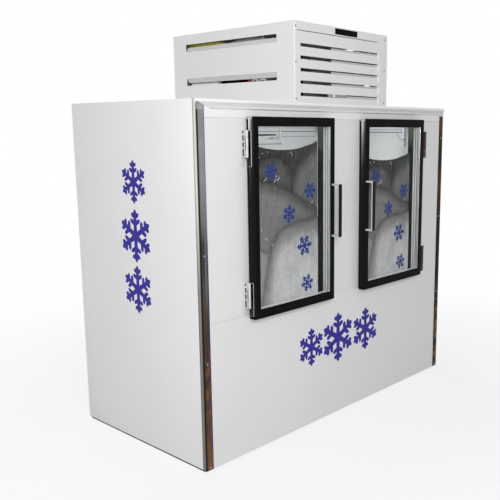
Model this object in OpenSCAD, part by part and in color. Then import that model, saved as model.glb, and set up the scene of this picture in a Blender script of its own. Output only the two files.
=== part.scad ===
// Two-door ice merchandiser freezer with a roof-mounted refrigeration unit.
// Origin at the centre of the base's underside, +Z up, the doors face -Y.

/* [Cabinet] */
// Width across the outer side skins
body_w = 1860; // [1700:10:2100]
// Depth from the front skin to the back skin
body_d = 930; // [860:10:1100]
// Height of the cabinet without the roof housing
body_h = 1590; // [1580:5:1700]
// Thickness of the insulated walls
wall_t = 60; // [50:1:80]
// Thickness of the insulated floor above the ground
floor_t = 70; // [55:1:100]
// Thickness of the sheet skins and the liner
skin_t = 2; // [1:0.5:3]
// Height of the recessed base plate under the skins
base_h = 8; // [6:1:20]
// How far the base plate sits inside the skins
base_inset = 15; // [8:1:30]
// Height of the seam under the doors
lower_seam_z = 656; // [620:1:660]
// Height of the seam above the doors
upper_seam_z = 1515; // [1505:1:1540]
// Width of the seams between the front panels
seam_gap = 1; // [0.5:0.5:3]

/* [Corner trims] */
// Width of the polished corner trim on the front
trim_front_w = 38; // [25:1:60]
// Width of the polished corner trim on the side
trim_side_w = 25; // [15:1:50]
// Thickness of the corner trim
trim_t = 1.5; // [1:0.5:3]
// Distance from the cabinet top to the trim's top end
trim_drop = 45; // [40:1:80]
// Head radius of the trim rivets
rivet_r = 4.5; // [3:0.5:6]
// Head height of the trim rivets
rivet_h = 2; // [1:0.5:3]
// Spacing of the trim rivets
rivet_pitch = 466; // [300:1:480]
// Height of the lowest rivet above the base plate
rivet_low = 13; // [8:1:40]

/* [Header cap] */
// Height of the drip cap over the front
cap_h = 37; // [30:1:44]
// Depth of the drip cap
cap_t = 8; // [5:1:14]
// Distance from the cabinet's side to the cap's end
cap_end = 20; // [5:1:40]
// Length of the slanted cut on the cap's ends
cap_slant = 55; // [20:1:90]

/* [Doors] */
// Width of each door
door_w = 548; // [500:1:600]
// Height of each door
door_h = 884; // [860:1:900]
// Height of the doors' lower edge
door_z = 638; // [625:1:645]
// Distance from the cabinet's side to the nearer door
door_side = 263; // [200:1:290]
// Depth of the door frame
door_t = 36; // [34:1:50]
// Thickness of the door gasket
gasket_t = 8; // [5:1:12]
// Width of the door gasket
gasket_w = 18; // [12:1:22]
// Face width of the stiles
stile_w = 34; // [30:1:45]
// Face width of the rails
rail_w = 42; // [32:1:55]
// Radius of the stiles' outer front edge
edge_r = 8; // [3:1:12]
// How far the door covers the front around its opening
door_overlap = 26; // [22:1:32]
// Thickness of the front lip that covers the glass edge
lip_t = 4; // [3:0.5:6]
// Thickness of each glass pane
pane_t = 4; // [3:0.5:6]
// How far the glass reaches into the frame
glass_bite = 10; // [6:1:14]
// Depth of the spacer between the panes
spacer_t = 16; // [8:1:18]
// Width of the spacer bars
spacer_w = 8; // [5:1:12]
// Thickness of the polished strips that line the openings
jamb_t = 2; // [1:0.5:3]

/* [Hinges] */
// Distance from the door's edge to the hinge pin
pin_off = 14; // [13:0.5:20]
// Distance from the front skin to the hinge pin
pin_out = 22; // [18:0.5:26]
// Outer radius of the knuckles
knuckle_r = 10.5; // [8:0.5:12]
// Radius of the hinge pins
pin_r = 4; // [3:0.5:5]
// Radial clearance of the pins in the knuckles
pin_clear = 0.05; // [0.02:0.01:0.1]
// Height of the three knuckles together
knuckle_h = 112; // [90:1:130]
// Height of each fixed knuckle
fixed_knuckle_h = 30; // [20:1:40]
// Gap between neighbouring knuckles
knuckle_gap = 0.5; // [0.3:0.1:1]
// Length of the flange below the knuckles
flange_tail = 40; // [20:1:60]
// Reach of the flange beyond the pin
flange_reach = 26; // [20:1:40]
// Thickness of the hinge flange
flange_t = 3; // [2:0.5:4]
// Radius of the pin's heads
pin_head_r = 7; // [5:0.5:9]
// Thickness of the pin's heads
pin_head_h = 2; // [1:0.5:4]
// Height of the lower hinge's knuckles above the door's lower edge
lower_hinge_up = 54; // [50:1:120]
// Distance from the door's upper edge to the upper hinge's top
upper_hinge_down = 59; // [30:1:120]
// Largest opening angle shown for the self-closing doors
door_open_deg = 110; // [80:1:110]

/* [Handles] */
// Length of the door handles
handle_h = 258; // [200:1:320]
// Height of the handle's lower end above the door's lower edge
handle_up = 314; // [250:1:400]
// Width of the handle bar
handle_w = 22; // [16:1:26]
// Thickness of the handle bar
handle_bar_t = 12; // [8:1:16]
// Thickness of the handle's two returns
handle_leg_t = 9; // [6:1:14]
// Distance from the door to the handle's outer face
handle_out = 48; // [40:1:60]
// Radius of the handle's outer bends
handle_bend_r = 7; // [3:1:8]

/* [Display inserts] */
// Depth of the moulded display inserts
insert_t = 16; // [8:1:18]
// Clear glass beside the insert, at its right
insert_margin = 61; // [40:1:100]
// Height of the left insert's corner above its bottom
insert_left_h = 718; // [600:1:760]
// Height of the right insert's corner above its bottom
insert_right_h = 646; // [560:1:760]
// Depth of the dip in the inserts' upper edge
insert_dip = 22; // [5:1:40]
// Rise of the upper edge towards its right corner
insert_rise = 16; // [5:1:30]

/* [Roof housing] */
// Width of the roof housing
housing_w = 714; // [640:1:800]
// Distance from the housing's back to the cabinet's back
housing_rear = 60; // [20:1:90]
// Height of the roof housing
housing_h = 360; // [340:1:420]
// Height of the lid's front flange
lid_flange = 40; // [30:1:60]
// Length of the slots in the housing's sides
side_slot_l = 655; // [500:1:700]
// Height of the slots in the housing's sides
side_slot_h = 37; // [20:1:50]
// Height of the lower side slots' centre above the cabinet
side_slot_low = 121; // [80:1:140]
// Spacing of the side slots
side_slot_pitch = 170; // [120:1:180]
// Distance from the front to the side slots
side_slot_front = 113; // [80:1:140]
// Number of louvres in the front grille
louvre_count = 5; // [3:1:5]
// Spacing of the louvres
louvre_pitch = 55; // [40:1:58]
// Height of the lowest louvre's centre above the cabinet
louvre_low = 37; // [30:1:50]
// Height of each louvre slot
louvre_h = 15; // [8:1:20]
// Width of the housing front left of the louvres
louvre_left = 51; // [40:1:80]
// Width of the housing front right of the louvres
louvre_right = 74; // [40:1:90]
// Length of the louvres' inner flaps
flap_l = 22; // [10:1:25]
// Width of the bare plate on the lid
plate_w = 171; // [100:1:250]
// Height of the bare plate on the lid
plate_h = 28; // [20:1:30]
// Distance of the bare plate from the housing's middle
plate_shift = 13; // [-50:1:50]

/* [Refrigeration unit] */
// Radius of the compressor's shell
comp_r = 82; // [60:1:100]
// Height of the compressor's shell
comp_h = 190; // [160:1:210]
// Width of the condenser coil
cond_w = 420; // [340:1:440]
// Depth of the condenser coil
cond_d = 50; // [30:1:70]
// Height of the condenser coil
cond_h = 250; // [230:1:270]
// Radius of the condenser fan
fan_r = 96; // [80:1:100]
// Clearance between the fan and its shroud
fan_gap = 6; // [3:1:10]
// Radius of the motor shafts
shaft_r = 4; // [3:0.5:5]
// Radial clearance of the fan hubs on their shafts
shaft_clear = 0.05; // [0.02:0.01:0.1]
// Radius of the thermostat knob
knob_r = 16; // [12:1:20]

/* [Interior] */
// Width of the evaporator cover
evap_w = 750; // [640:10:840]
// Distance of the evaporator cover from the cabinet's middle
evap_shift = -225; // [-250:5:-150]
// Depth of the evaporator cover
evap_d = 320; // [280:5:360]
// Height of the evaporator cover
evap_h = 130; // [125:1:160]
// Radius of the evaporator fans
evap_fan_r = 48; // [35:1:50]
// Length of the light in the ceiling
light_l = 900; // [600:10:1200]
// Number of bars in the floor grate
grate_bars = 22; // [12:1:30]

/* [Hidden] */
$fn = 48;
cut = 1;
joint = 0.2;

front_y = -body_d / 2;
back_y = body_d / 2;
half_w = body_w / 2;
inner_w = half_w - wall_t;
inner_front = front_y + wall_t;
inner_back = back_y - wall_t;
ceiling_z = body_h - wall_t;

frame_back = front_y - gasket_t;
frame_front = frame_back - door_t;
door_top = door_z + door_h;
left_door_x = -half_w + door_side;
right_door_x = half_w - door_side - door_w;
open_w = door_w - 2 * door_overlap;
open_z0 = door_z + door_overlap;
open_z1 = door_top - door_overlap;
glass_w = door_w - 2 * stile_w;
glass_h = door_h - 2 * rail_w;
front_pane_y = frame_front + lip_t;
spacer_y = front_pane_y + pane_t;
rear_pane_y = spacer_y + spacer_t;
bead_y = rear_pane_y + pane_t;

pin_y = front_y - pin_out;
left_pin_x = left_door_x - pin_off;
right_pin_x = right_door_x + door_w + pin_off;
lower_hinge_z = door_z + lower_hinge_up;
upper_hinge_z = door_top - upper_hinge_down - knuckle_h;
moving_z = fixed_knuckle_h + knuckle_gap;
moving_h = knuckle_h - 2 * moving_z;
strap_gap = 0.5;
strap_x = knuckle_r + strap_gap;

housing_x = housing_w / 2;
housing_back = back_y - housing_rear;
housing_top = body_h + housing_h;
tray_t = 6;
tray_top = body_h + tray_t;
tray_edge = 20;
foot_h = 20;
comp_plate_t = 4;
comp_x = -200;
comp_y = housing_back - 310;
comp_plate_over = 20;
foot_r = 14;
foot_inset = 18;
comp_base = tray_top + foot_h + comp_plate_t;
stub_r = 6;
stub_h = 20;
stub_off = 30;
cond_x = -180;
cond_front = 60;
cond_y = front_y + cond_front;
bend_r = 5;
bend_pitch = 40;
bend_margin = 30;
cond_mid_x = cond_x + cond_w / 2;
fan_z = tray_top + cond_h / 2;
shroud_t = 3;
shroud_depth = 30;
shroud_y = cond_y + cond_d + shroud_depth;
motor_r = 38;
motor_l = 70;
motor_gap = 60;
motor_y = shroud_y + motor_gap;
bracket_w = 30;
bracket_t = 4;
bracket_margin = 8;
hub_r = 20;
hub_l = 26;
hub_gap = 4;
control_w = 150;
control_d = 110;
control_h = 170;
control_x = 160;
control_y = housing_back - 230;
knob_x = control_x + control_w / 2;
knob_z = tray_top + control_h * 0.7;
knob_gap = 0.5;
knob_shaft = 9;
knob_t = 14;
knob_wall = 1;
pointer_w = 3;
inlet_x = -housing_x + 120;
inlet_z = body_h + 50;
inlet_w = 60;
inlet_h = 44;
inlet_t = 14;
inlet_rim = 10;
inlet_floor = 3;
line_y = inner_back - 100;
line_r = 12;
line_gap = 0.5;
pipe_rise = 18;
pipe_cross = 4;
pipe_inset = 40;
sleeve_out = 30;

evap_y = inner_back - evap_d;
evap_z = ceiling_z - evap_h;
evap_fan_x = evap_w / 4;
evap_fan_z = evap_z + evap_h / 2 - 3;
evap_motor_y = evap_y + 70;
evap_motor_r = 24;
evap_motor_l = 40;
evap_shaft_l = 50;
evap_hub_r = 12;
evap_hub_l = 18;
evap_coil_front = 140;
evap_coil_gap = 20;
evap_margin = 60;
line_inset = 30;
line_x = evap_shift + evap_w / 2 - evap_margin - line_inset;
cover_slot_front = 130;
cover_slot_pitch = 28;
cover_slot_w = 12;
light_front = 70;
light_d = 40;
light_t = 16;
holder_w = 20;
holder_d = 24;
holder_h = 24;
tube_r = 8;
sensor_side = 60;
sensor_front = 130;
sensor_drop = 60;
sensor_h = 105;
sensor_w = 40;
sensor_t = 8;
sensor_stem = 4;
loop_r = 30;
loop_wire = 1.5;
sheet_t = 1.5;
grate_t = 12;
grate_margin = 12;
grate_bar_w = 30;
grate_end = 60;
screw_r = 4;
screw_h = 1.6;

// A box between two corners
module block(x0, x1, y0, y1, z0, z1) {
  translate([x0, y0, z0]) cube([x1 - x0, y1 - y0, z1 - z0]);
}

// A cylinder along Y from y0 to y1
module rod_y(x, z, y0, y1, r) {
  translate([x, y0, z]) rotate([-90, 0, 0]) cylinder(r = r, h = y1 - y0);
}

// A wall slab with a hairline joint along its edges, but not on its two faces across the given axis
module slab(x0, x1, y0, y1, z0, z1, across) {
  jx = across == "x" ? 0 : joint / 2;
  jy = across == "y" ? 0 : joint / 2;
  jz = across == "z" ? 0 : joint / 2;
  block(x0 + jx, x1 - jx, y0 + jy, y1 - jy, z0 + jz, z1 - jz);
}

// Four bars around a rectangular opening, butted with hairline joints
module bars(x0, x1, z0, z1, side_w, top_w, y0, y1) {
  block(x0, x0 + side_w, y0, y1, z0, z1);
  block(x1 - side_w, x1, y0, y1, z0, z1);
  block(x0 + side_w + joint, x1 - side_w - joint, y0, y1, z0, z0 + top_w);
  block(x0 + side_w + joint, x1 - side_w - joint, y0, y1, z1 - top_w, z1);
}

// Both door openings, widened by grow on all sides
module door_openings(grow, y0, y1) {
  for (x = [left_door_x, right_door_x])
    block(x + door_overlap - grow, x + door_w - door_overlap + grow, y0, y1, open_z0 - grow, open_z1 + grow);
}

// A straight pipe between two points
module pipe(a, b, r) {
  d = b - a;
  len = norm(d);
  translate(a) rotate([0, acos(d[2] / len), atan2(d[1], d[0])]) cylinder(r = r, h = len);
}

// A pipe run with round corners through a list of points
module pipe_run(points, r) {
  for (i = [0 : len(points) - 2]) pipe(points[i], points[i + 1], r);
  for (i = [1 : len(points) - 2]) translate(points[i]) sphere(r = r);
}

// Slabs of wall around the two openings, without the openings
module pierced_wall(half, y0, y1, z0, z1) {
  edges = [left_door_x + door_overlap - jamb_t, left_door_x + door_w - door_overlap + jamb_t,
           right_door_x + door_overlap - jamb_t, right_door_x + door_w - door_overlap + jamb_t];
  slab(-half, edges[0], y0, y1, z0, z1, "y");
  slab(edges[1], edges[2], y0, y1, z0, z1, "y");
  slab(edges[3], half, y0, y1, z0, z1, "y");
  for (i = [0, 2]) {
    slab(edges[i], edges[i + 1], y0, y1, z0, open_z0 - jamb_t, "y");
    slab(edges[i], edges[i + 1], y0, y1, open_z1 + jamb_t, z1, "y");
  }
}

// ---- Cabinet shell ----
module base_plate() {
  color("dimgray")
    block(-half_w + base_inset, half_w - base_inset, front_y + base_inset, back_y - base_inset, 0, base_h);
}

module side_panel(side) {
  x = side * (half_w - skin_t / 2);
  block(x - skin_t / 2, x + skin_t / 2, front_y, back_y, base_h, body_h);
}

module left_side_panel() { color("whitesmoke") side_panel(-1); }
module right_side_panel() { color("whitesmoke") side_panel(1); }

module back_panel() {
  color("gainsboro")
    block(-half_w + skin_t, half_w - skin_t, back_y - skin_t, back_y, base_h, body_h);
}

module top_panel() {
  color("whitesmoke") difference() {
    block(-half_w + skin_t, half_w - skin_t, front_y + skin_t, back_y - skin_t, body_h - skin_t, body_h);
    line_hole(body_h - skin_t - cut, body_h + cut);
  }
}

module line_hole(z0, z1) {
  translate([line_x, line_y, z0]) cylinder(r = line_r + line_gap, h = z1 - z0);
}

module front_sheet(z0, z1) {
  block(-half_w + skin_t, half_w - skin_t, front_y, front_y + skin_t, z0, z1);
}

module front_lower_panel() { color("whitesmoke") front_sheet(base_h, lower_seam_z - seam_gap / 2); }
module front_header_panel() { color("whitesmoke") front_sheet(upper_seam_z + seam_gap / 2, body_h); }

module front_door_panel() {
  color("whitesmoke") difference() {
    front_sheet(lower_seam_z + seam_gap / 2, upper_seam_z - seam_gap / 2);
    door_openings(jamb_t, front_y - cut, front_y + skin_t + cut);
  }
}

module cabinet_insulation() {
  foam_w = half_w - skin_t;
  foam_in = inner_w + skin_t;
  foam_front = front_y + skin_t;
  foam_back = back_y - skin_t;
  floor_top = floor_t - skin_t;
  roof_z = ceiling_z + skin_t;
  color("khaki") {
    slab(-foam_w, -foam_in, foam_front, foam_back, base_h, body_h - skin_t, "x");
    slab(foam_in, foam_w, foam_front, foam_back, base_h, body_h - skin_t, "x");
    slab(-foam_in, foam_in, foam_front, foam_back, base_h, floor_top, "z");
    difference() {
      slab(-foam_in, foam_in, foam_front, foam_back, roof_z, body_h - skin_t, "z");
      line_hole(ceiling_z, body_h);
    }
    slab(-foam_in, foam_in, inner_back + skin_t, foam_back, floor_top, roof_z, "y");
    pierced_wall(foam_in, foam_front, inner_front - skin_t, floor_top, roof_z);
  }
}

module inner_liner() {
  liner_w = inner_w + skin_t;
  liner_front = inner_front - skin_t;
  liner_back = inner_back + skin_t;
  color("white") {
    slab(-liner_w, -inner_w, liner_front, liner_back, floor_t - skin_t, ceiling_z + skin_t, "x");
    slab(inner_w, liner_w, liner_front, liner_back, floor_t - skin_t, ceiling_z + skin_t, "x");
    slab(-inner_w, inner_w, liner_front, liner_back, floor_t - skin_t, floor_t, "z");
    difference() {
      slab(-inner_w, inner_w, liner_front, liner_back, ceiling_z, ceiling_z + skin_t, "z");
      line_hole(ceiling_z - cut, ceiling_z + skin_t + cut);
    }
    slab(-inner_w, inner_w, inner_back, liner_back, floor_t, ceiling_z, "y");
    pierced_wall(inner_w, liner_front, inner_front, floor_t, ceiling_z);
  }
}

module door_jambs() {
  color("silver")
    for (x = [left_door_x, right_door_x])
      bars(x + door_overlap - jamb_t, x + door_w - door_overlap + jamb_t, open_z0 - jamb_t, open_z1 + jamb_t,
           jamb_t, jamb_t, front_y, inner_front);
}

// ---- Trims on the front ----
module corner_trim(side) {
  mirror([side < 0 ? 0 : 1, 0, 0]) {
    block(-half_w - trim_t, -half_w + trim_front_w, front_y - trim_t, front_y, base_h, body_h - trim_drop);
    block(-half_w - trim_t, -half_w, front_y, front_y + trim_side_w, base_h, body_h - trim_drop);
  }
}

module left_corner_trim() { color("lightgray") corner_trim(-1); }
module right_corner_trim() { color("lightgray") corner_trim(1); }

module trim_rivets() {
  first = base_h + rivet_low;
  color("silver")
    for (s = [-1, 1], z = [first : rivet_pitch : body_h - trim_drop - rivet_r])
      translate([s * (half_w - trim_front_w / 2), front_y - trim_t, z])
        rotate([90, 0, 0]) cylinder(r1 = rivet_r, r2 = rivet_r / 2, h = rivet_h);
}

module header_cap() {
  run = body_w - 2 * cap_end;
  step = cap_h / 4;
  profile = [[0, 0], [-cap_t * 0.6, 0], [-cap_t * 0.6, step * 1.3], [-cap_t * 0.35, step * 2.4],
             [-cap_t, step * 3.2], [-cap_t, cap_h - 1], [-cap_t + 1, cap_h], [0, cap_h]];
  color("white") difference() {
    translate([-run / 2, front_y, body_h - cap_h])
      rotate([90, 0, 90]) linear_extrude(height = run) polygon(profile);
    for (s = [-1, 1]) mirror([s < 0 ? 0 : 1, 0, 0])
      translate([-run / 2, front_y - 2 * cap_t, body_h])
        rotate([0, atan2(cap_h, cap_slant), 0])
          translate([-cap_h, 0, -3 * cap_slant]) cube([2 * cap_slant + cap_h, 3 * cap_t, 3 * cap_slant]);
  }
}

// ---- Hinges ----
module knuckle(z0, h, r) { translate([0, 0, z0]) cylinder(r = r, h = h); }

module pin_bore(r, z0, h) { translate([0, 0, z0 - cut]) cylinder(r = r, h = h + 2 * cut); }

// Fixed half of a left-hand hinge, about its own pin
module hinge_flange() {
  difference() {
    union() {
      block(-flange_reach, knuckle_r, pin_out - flange_t, pin_out, -flange_tail, knuckle_h);
      for (z = [0, knuckle_h - fixed_knuckle_h]) {
        knuckle(z, fixed_knuckle_h, knuckle_r);
        block(-knuckle_r, knuckle_r, 0, pin_out, z, z + fixed_knuckle_h);
      }
    }
    pin_bore(pin_r + pin_clear, 0, knuckle_h);
  }
}

// Moving half of a left-hand hinge, about its own pin
module hinge_strap() {
  difference() {
    union() {
      knuckle(moving_z, moving_h, knuckle_r);
      block(0, strap_x + 0.2, -knuckle_r * 0.8, knuckle_r * 0.8, moving_z, moving_z + moving_h);
      block(strap_x, pin_off, pin_out - gasket_t - door_t + edge_r, pin_out - gasket_t - 2,
            -flange_tail, knuckle_h);
    }
    pin_bore(pin_r + pin_clear, 0, knuckle_h);
  }
}

module hinge_pin() {
  knuckle(0, knuckle_h, pin_r);
  knuckle(-pin_head_h, pin_head_h, pin_head_r);
  knuckle(knuckle_h, pin_head_h, pin_head_r);
}

// Places a left-hand hinge piece at both hinges of one door
module at_hinges(side) {
  x = side < 0 ? left_pin_x : right_pin_x;
  for (z = [lower_hinge_z, upper_hinge_z])
    translate([x, pin_y, z]) mirror([side < 0 ? 0 : 1, 0, 0]) children();
}

module hinge_flanges() { color("silver") for (s = [-1, 1]) at_hinges(s) hinge_flange(); }
module hinge_pins() { color("gainsboro") for (s = [-1, 1]) at_hinges(s) hinge_pin(); }

// A screw head that stands on a face looking towards -Y
module screw_front(x, y, z) {
  translate([x, y, z]) rotate([90, 0, 0]) cylinder(r = screw_r, h = screw_h);
}

module panel_screws() {
  edge = 11;
  reach = flange_reach - screw_r - 3;
  color("silver") {
    for (s = [-1, 1]) at_hinges(s)
      for (z = [-flange_tail / 2, knuckle_h / 2, knuckle_h - 12])
        screw_front(-reach, pin_out - flange_t, z);
    for (s = [-1, 1], z = [body_h + 16, body_h + housing_h / 2, housing_top - 24])
      screw_front(s * (housing_x - edge), front_y, z);
  }
}

// ---- Roof housing ----
module side_slots(x0, x1) {
  for (i = [0, 1]) {
    z = body_h + side_slot_low + i * side_slot_pitch;
    block(x0, x1, front_y + side_slot_front, front_y + side_slot_front + side_slot_l,
          z - side_slot_h / 2, z + side_slot_h / 2);
  }
}

module housing_side() {
  difference() {
    block(-housing_x, -housing_x + skin_t, front_y + skin_t, housing_back, body_h, housing_top - skin_t);
    side_slots(-housing_x - cut, -housing_x + skin_t + cut);
  }
  for (i = [0, 1]) {
    z = body_h + side_slot_low + i * side_slot_pitch + (i == 0 ? 1 : -1) * side_slot_h / 2;
    translate([-housing_x + skin_t / 2, front_y + side_slot_front, z])
      rotate([0, i == 0 ? 150 : 30, 0])
        block(-skin_t / 2, skin_t / 2, -cut, side_slot_l + cut, 0, flap_l);
  }
}

module housing_left_panel() { color("whitesmoke") housing_side(); }
module housing_right_panel() { color("whitesmoke") mirror([1, 0, 0]) housing_side(); }

module housing_back_panel() {
  slot_w = housing_w - 2 * louvre_right;
  color("whitesmoke") difference() {
    block(-housing_x + skin_t, housing_x - skin_t, housing_back - skin_t, housing_back,
          body_h, housing_top - skin_t);
    for (i = [0 : louvre_count - 1]) {
      z = body_h + louvre_low + 70 + i * louvre_pitch * 0.8;
      block(-slot_w / 2, slot_w / 2, housing_back - skin_t - cut, housing_back + cut, z, z + louvre_h);
    }
  }
}

module housing_lid() {
  color("white") {
    block(-housing_x, housing_x, front_y, housing_back, housing_top - skin_t, housing_top);
    block(-housing_x, housing_x, front_y, front_y + skin_t, housing_top - lid_flange, housing_top - skin_t);
  }
}

module front_grille() {
  x0 = -housing_x + louvre_left;
  x1 = housing_x - louvre_right;
  color("whitesmoke") {
    difference() {
      block(-housing_x, housing_x, front_y, front_y + skin_t,
            body_h, housing_top - lid_flange - 2 * seam_gap);
      for (i = [0 : louvre_count - 1])
        block(x0, x1, front_y - cut, front_y + skin_t + cut,
              body_h + louvre_low + i * louvre_pitch - louvre_h / 2,
              body_h + louvre_low + i * louvre_pitch + louvre_h / 2);
    }
    for (i = [0 : louvre_count - 1])
      translate([x0, front_y + skin_t / 2, body_h + louvre_low + i * louvre_pitch - louvre_h / 2])
        rotate([-50, 0, 0]) block(-cut, x1 - x0 + cut, -skin_t / 2, skin_t / 2, 0, flap_l);
  }
}

module blank_plate() {
  z = housing_top - lid_flange / 2;
  color("black")
    block(plate_shift - plate_w / 2, plate_shift + plate_w / 2, front_y - sheet_t, front_y,
          z - plate_h / 2, z + plate_h / 2);
}

// ---- Refrigeration unit on the roof ----
module machine_tray() {
  edge = skin_t + flap_l;
  color("darkgray") difference() {
    block(-housing_x + edge, housing_x - edge, front_y + tray_edge + flap_l, housing_back - tray_edge,
          body_h, tray_top);
    line_hole(body_h - cut, tray_top + cut);
  }
}

module compressor() {
  shoulder = comp_r * 0.4;
  color("black") translate([comp_x, comp_y, comp_base]) {
    rotate_extrude() difference() {
      union() {
        square([comp_r, comp_h - shoulder]);
        square([comp_r - shoulder, comp_h]);
        translate([comp_r - shoulder, comp_h - shoulder]) circle(r = shoulder);
      }
      translate([-comp_r * 2, -comp_r]) square([comp_r * 2, comp_h * 3]);
    }
    block(-comp_r - comp_plate_over, comp_r + comp_plate_over, -comp_r, comp_r, -comp_plate_t, 0);
    for (s = [-1, 1]) translate([s * stub_off, 0, comp_h]) cylinder(r = stub_r, h = stub_h);
  }
}

module compressor_feet() {
  color("dimgray") for (sx = [-1, 1], sy = [-1, 1])
    translate([comp_x + sx * comp_r, comp_y + sy * (comp_r - foot_inset), tray_top])
      cylinder(r = foot_r, h = foot_h);
}

module condenser_coil() {
  plate_t = 3;
  color("dimgray") {
    block(cond_x + plate_t, cond_x + cond_w - plate_t, cond_y, cond_y + cond_d, tray_top, tray_top + cond_h);
    for (x = [cond_x, cond_x + cond_w - plate_t])
      block(x, x + plate_t, cond_y, cond_y + cond_d, tray_top, tray_top + cond_h);
    for (z = [bend_margin : bend_pitch : cond_h - bend_margin])
      translate([cond_x + cond_w, cond_y + cond_d / 2, tray_top + z])
        rotate([0, 0, -90]) rotate_extrude(angle = 180) translate([cond_d / 4, 0]) circle(r = bend_r);
  }
}

module fan_shroud() {
  color("black") {
    difference() {
      block(cond_x, cond_x + cond_w, shroud_y, shroud_y + shroud_t, tray_top, tray_top + cond_h);
      rod_y(cond_mid_x, fan_z, shroud_y - cut, shroud_y + shroud_t + cut, fan_r + fan_gap);
    }
    for (z = [tray_top, tray_top + cond_h - shroud_t])
      block(cond_x, cond_x + cond_w, cond_y + cond_d, shroud_y, z, z + shroud_t);
  }
}

module condenser_motor() {
  arm = cond_h / 2 - bracket_margin;
  half = bracket_w / 2;
  back = motor_y + motor_l;
  color("gray") {
    rod_y(cond_mid_x, fan_z, motor_y, back, motor_r);
    rod_y(cond_mid_x, fan_z, shroud_y - hub_l / 2, motor_y, shaft_r);
    block(cond_mid_x - half, cond_mid_x + half, back, back + bracket_t, fan_z - arm, fan_z + arm);
    for (s = [-1, 1]) {
      z = fan_z + s * (arm - bracket_t / 2);
      block(cond_mid_x - half, cond_mid_x + half, shroud_y + shroud_t, back,
            z - bracket_t / 2, z + bracket_t / 2);
    }
  }
}

// A fan about the Y axis at its own centre
module fan(r, hub, length, bore, blades) {
  rotate([-90, 0, 0]) difference() {
    union() {
      cylinder(r = hub, h = length, center = true);
      for (i = [0 : blades - 1]) rotate([0, 0, i * 360 / blades])
        translate([hub - 2, 0, 0]) rotate([28, 0, 0])
          block(0, r - hub, -r * 0.24, r * 0.24, -1, 1);
    }
    cylinder(r = bore, h = length + 2 * cut, center = true);
  }
}

module condenser_fan() {
  y = motor_y - hub_gap - hub_l / 2;
  color("lightgray") translate([cond_mid_x, y, fan_z]) fan(fan_r, hub_r, hub_l, shaft_r + shaft_clear, 5);
}

module control_box() {
  color("silver") {
    block(control_x, control_x + control_w, control_y, control_y + control_d, tray_top, tray_top + control_h);
    rod_y(knob_x, knob_z, control_y - knob_shaft, control_y, shaft_r);
  }
}

module thermostat_knob() {
  y = control_y - knob_gap;
  color("black") difference() {
    union() {
      rod_y(knob_x, knob_z, y - knob_t, y, knob_r);
      block(knob_x - pointer_w / 2, knob_x + pointer_w / 2, y - knob_t - 2, y - knob_t + cut,
            knob_z, knob_z + knob_r - 2);
    }
    rod_y(knob_x, knob_z, y - knob_shaft - knob_wall, y + cut, shaft_r + shaft_clear);
  }
}

module power_inlet() {
  x = inlet_w / 2;
  z = inlet_h / 2;
  color("black") translate([inlet_x, housing_back, inlet_z]) difference() {
    block(-x, x, 0, inlet_t, -z, z);
    block(-x + inlet_rim, x - inlet_rim, inlet_floor, inlet_t + cut, -z + inlet_rim, z - inlet_rim);
  }
}

module refrigerant_lines() {
  top = comp_base + comp_h + stub_h;
  rise = max(top, tray_top + cond_h) + pipe_rise;
  high = rise + pipe_cross;
  out_x = comp_x + stub_off;
  in_x = comp_x - stub_off;
  coil_x = cond_x + cond_w - pipe_inset;
  coil_y = cond_y + cond_d / 2;
  sleeve_z = evap_z + evap_h * 0.6;
  color("peru") {
    pipe_run([[out_x, comp_y, top], [out_x, comp_y, rise], [coil_x, comp_y, rise],
              [coil_x, coil_y, rise], [coil_x, coil_y, tray_top + cond_h]], stub_r - 1);
    pipe_run([[in_x, comp_y, top], [in_x, comp_y, high], [in_x, line_y, high],
              [line_x, line_y, high], [line_x, line_y, body_h]], stub_r);
  }
  color("black")
    translate([line_x, line_y, sleeve_z]) cylinder(r = line_r, h = tray_top + sleeve_out - sleeve_z);
}

// ---- Inside the cold space ----
module evaporator_cover() {
  x = evap_w / 2;
  color("white") translate([evap_shift, 0, 0]) difference() {
    block(-x, x, evap_y, inner_back, evap_z, ceiling_z);
    block(-x + sheet_t, x - sheet_t, evap_y + sheet_t, inner_back + cut, evap_z + sheet_t, ceiling_z + cut);
    for (s = [-1, 1])
      rod_y(s * evap_fan_x, evap_fan_z, evap_y - cut, evap_y + sheet_t + cut, evap_fan_r + fan_gap);
    for (i = [0 : 5]) {
      y = evap_y + cover_slot_front + i * cover_slot_pitch;
      block(-x + evap_margin, x - evap_margin, y, y + cover_slot_w, evap_z - cut, evap_z + sheet_t + cut);
    }
  }
}

module evaporator_coil() {
  x = evap_w / 2 - evap_margin;
  color("silver") difference() {
    block(evap_shift - x, evap_shift + x, evap_y + evap_coil_front, inner_back - evap_coil_gap,
          evap_z + evap_coil_gap, ceiling_z);
    translate([line_x, line_y, evap_z]) cylinder(r = line_r + line_gap, h = evap_h + cut);
  }
}

module evaporator_motors() {
  color("gray") for (s = [-1, 1]) {
    x = evap_shift + s * evap_fan_x;
    back = evap_motor_y + evap_motor_l;
    rod_y(x, evap_fan_z, evap_motor_y, back, evap_motor_r);
    rod_y(x, evap_fan_z, evap_motor_y - evap_shaft_l, evap_motor_y, shaft_r);
    block(x - evap_motor_r / 2, x + evap_motor_r / 2, back, back + 2 * sheet_t,
          evap_fan_z - evap_motor_r, ceiling_z);
  }
}

module evaporator_fan(side) {
  y = evap_motor_y - hub_gap - evap_hub_l / 2;
  color("black") translate([evap_shift + side * evap_fan_x, y, evap_fan_z])
    fan(evap_fan_r, evap_hub_r, evap_hub_l, shaft_r + shaft_clear, 4);
}

module evaporator_fan_left() { evaporator_fan(-1); }
module evaporator_fan_right() { evaporator_fan(1); }

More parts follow.
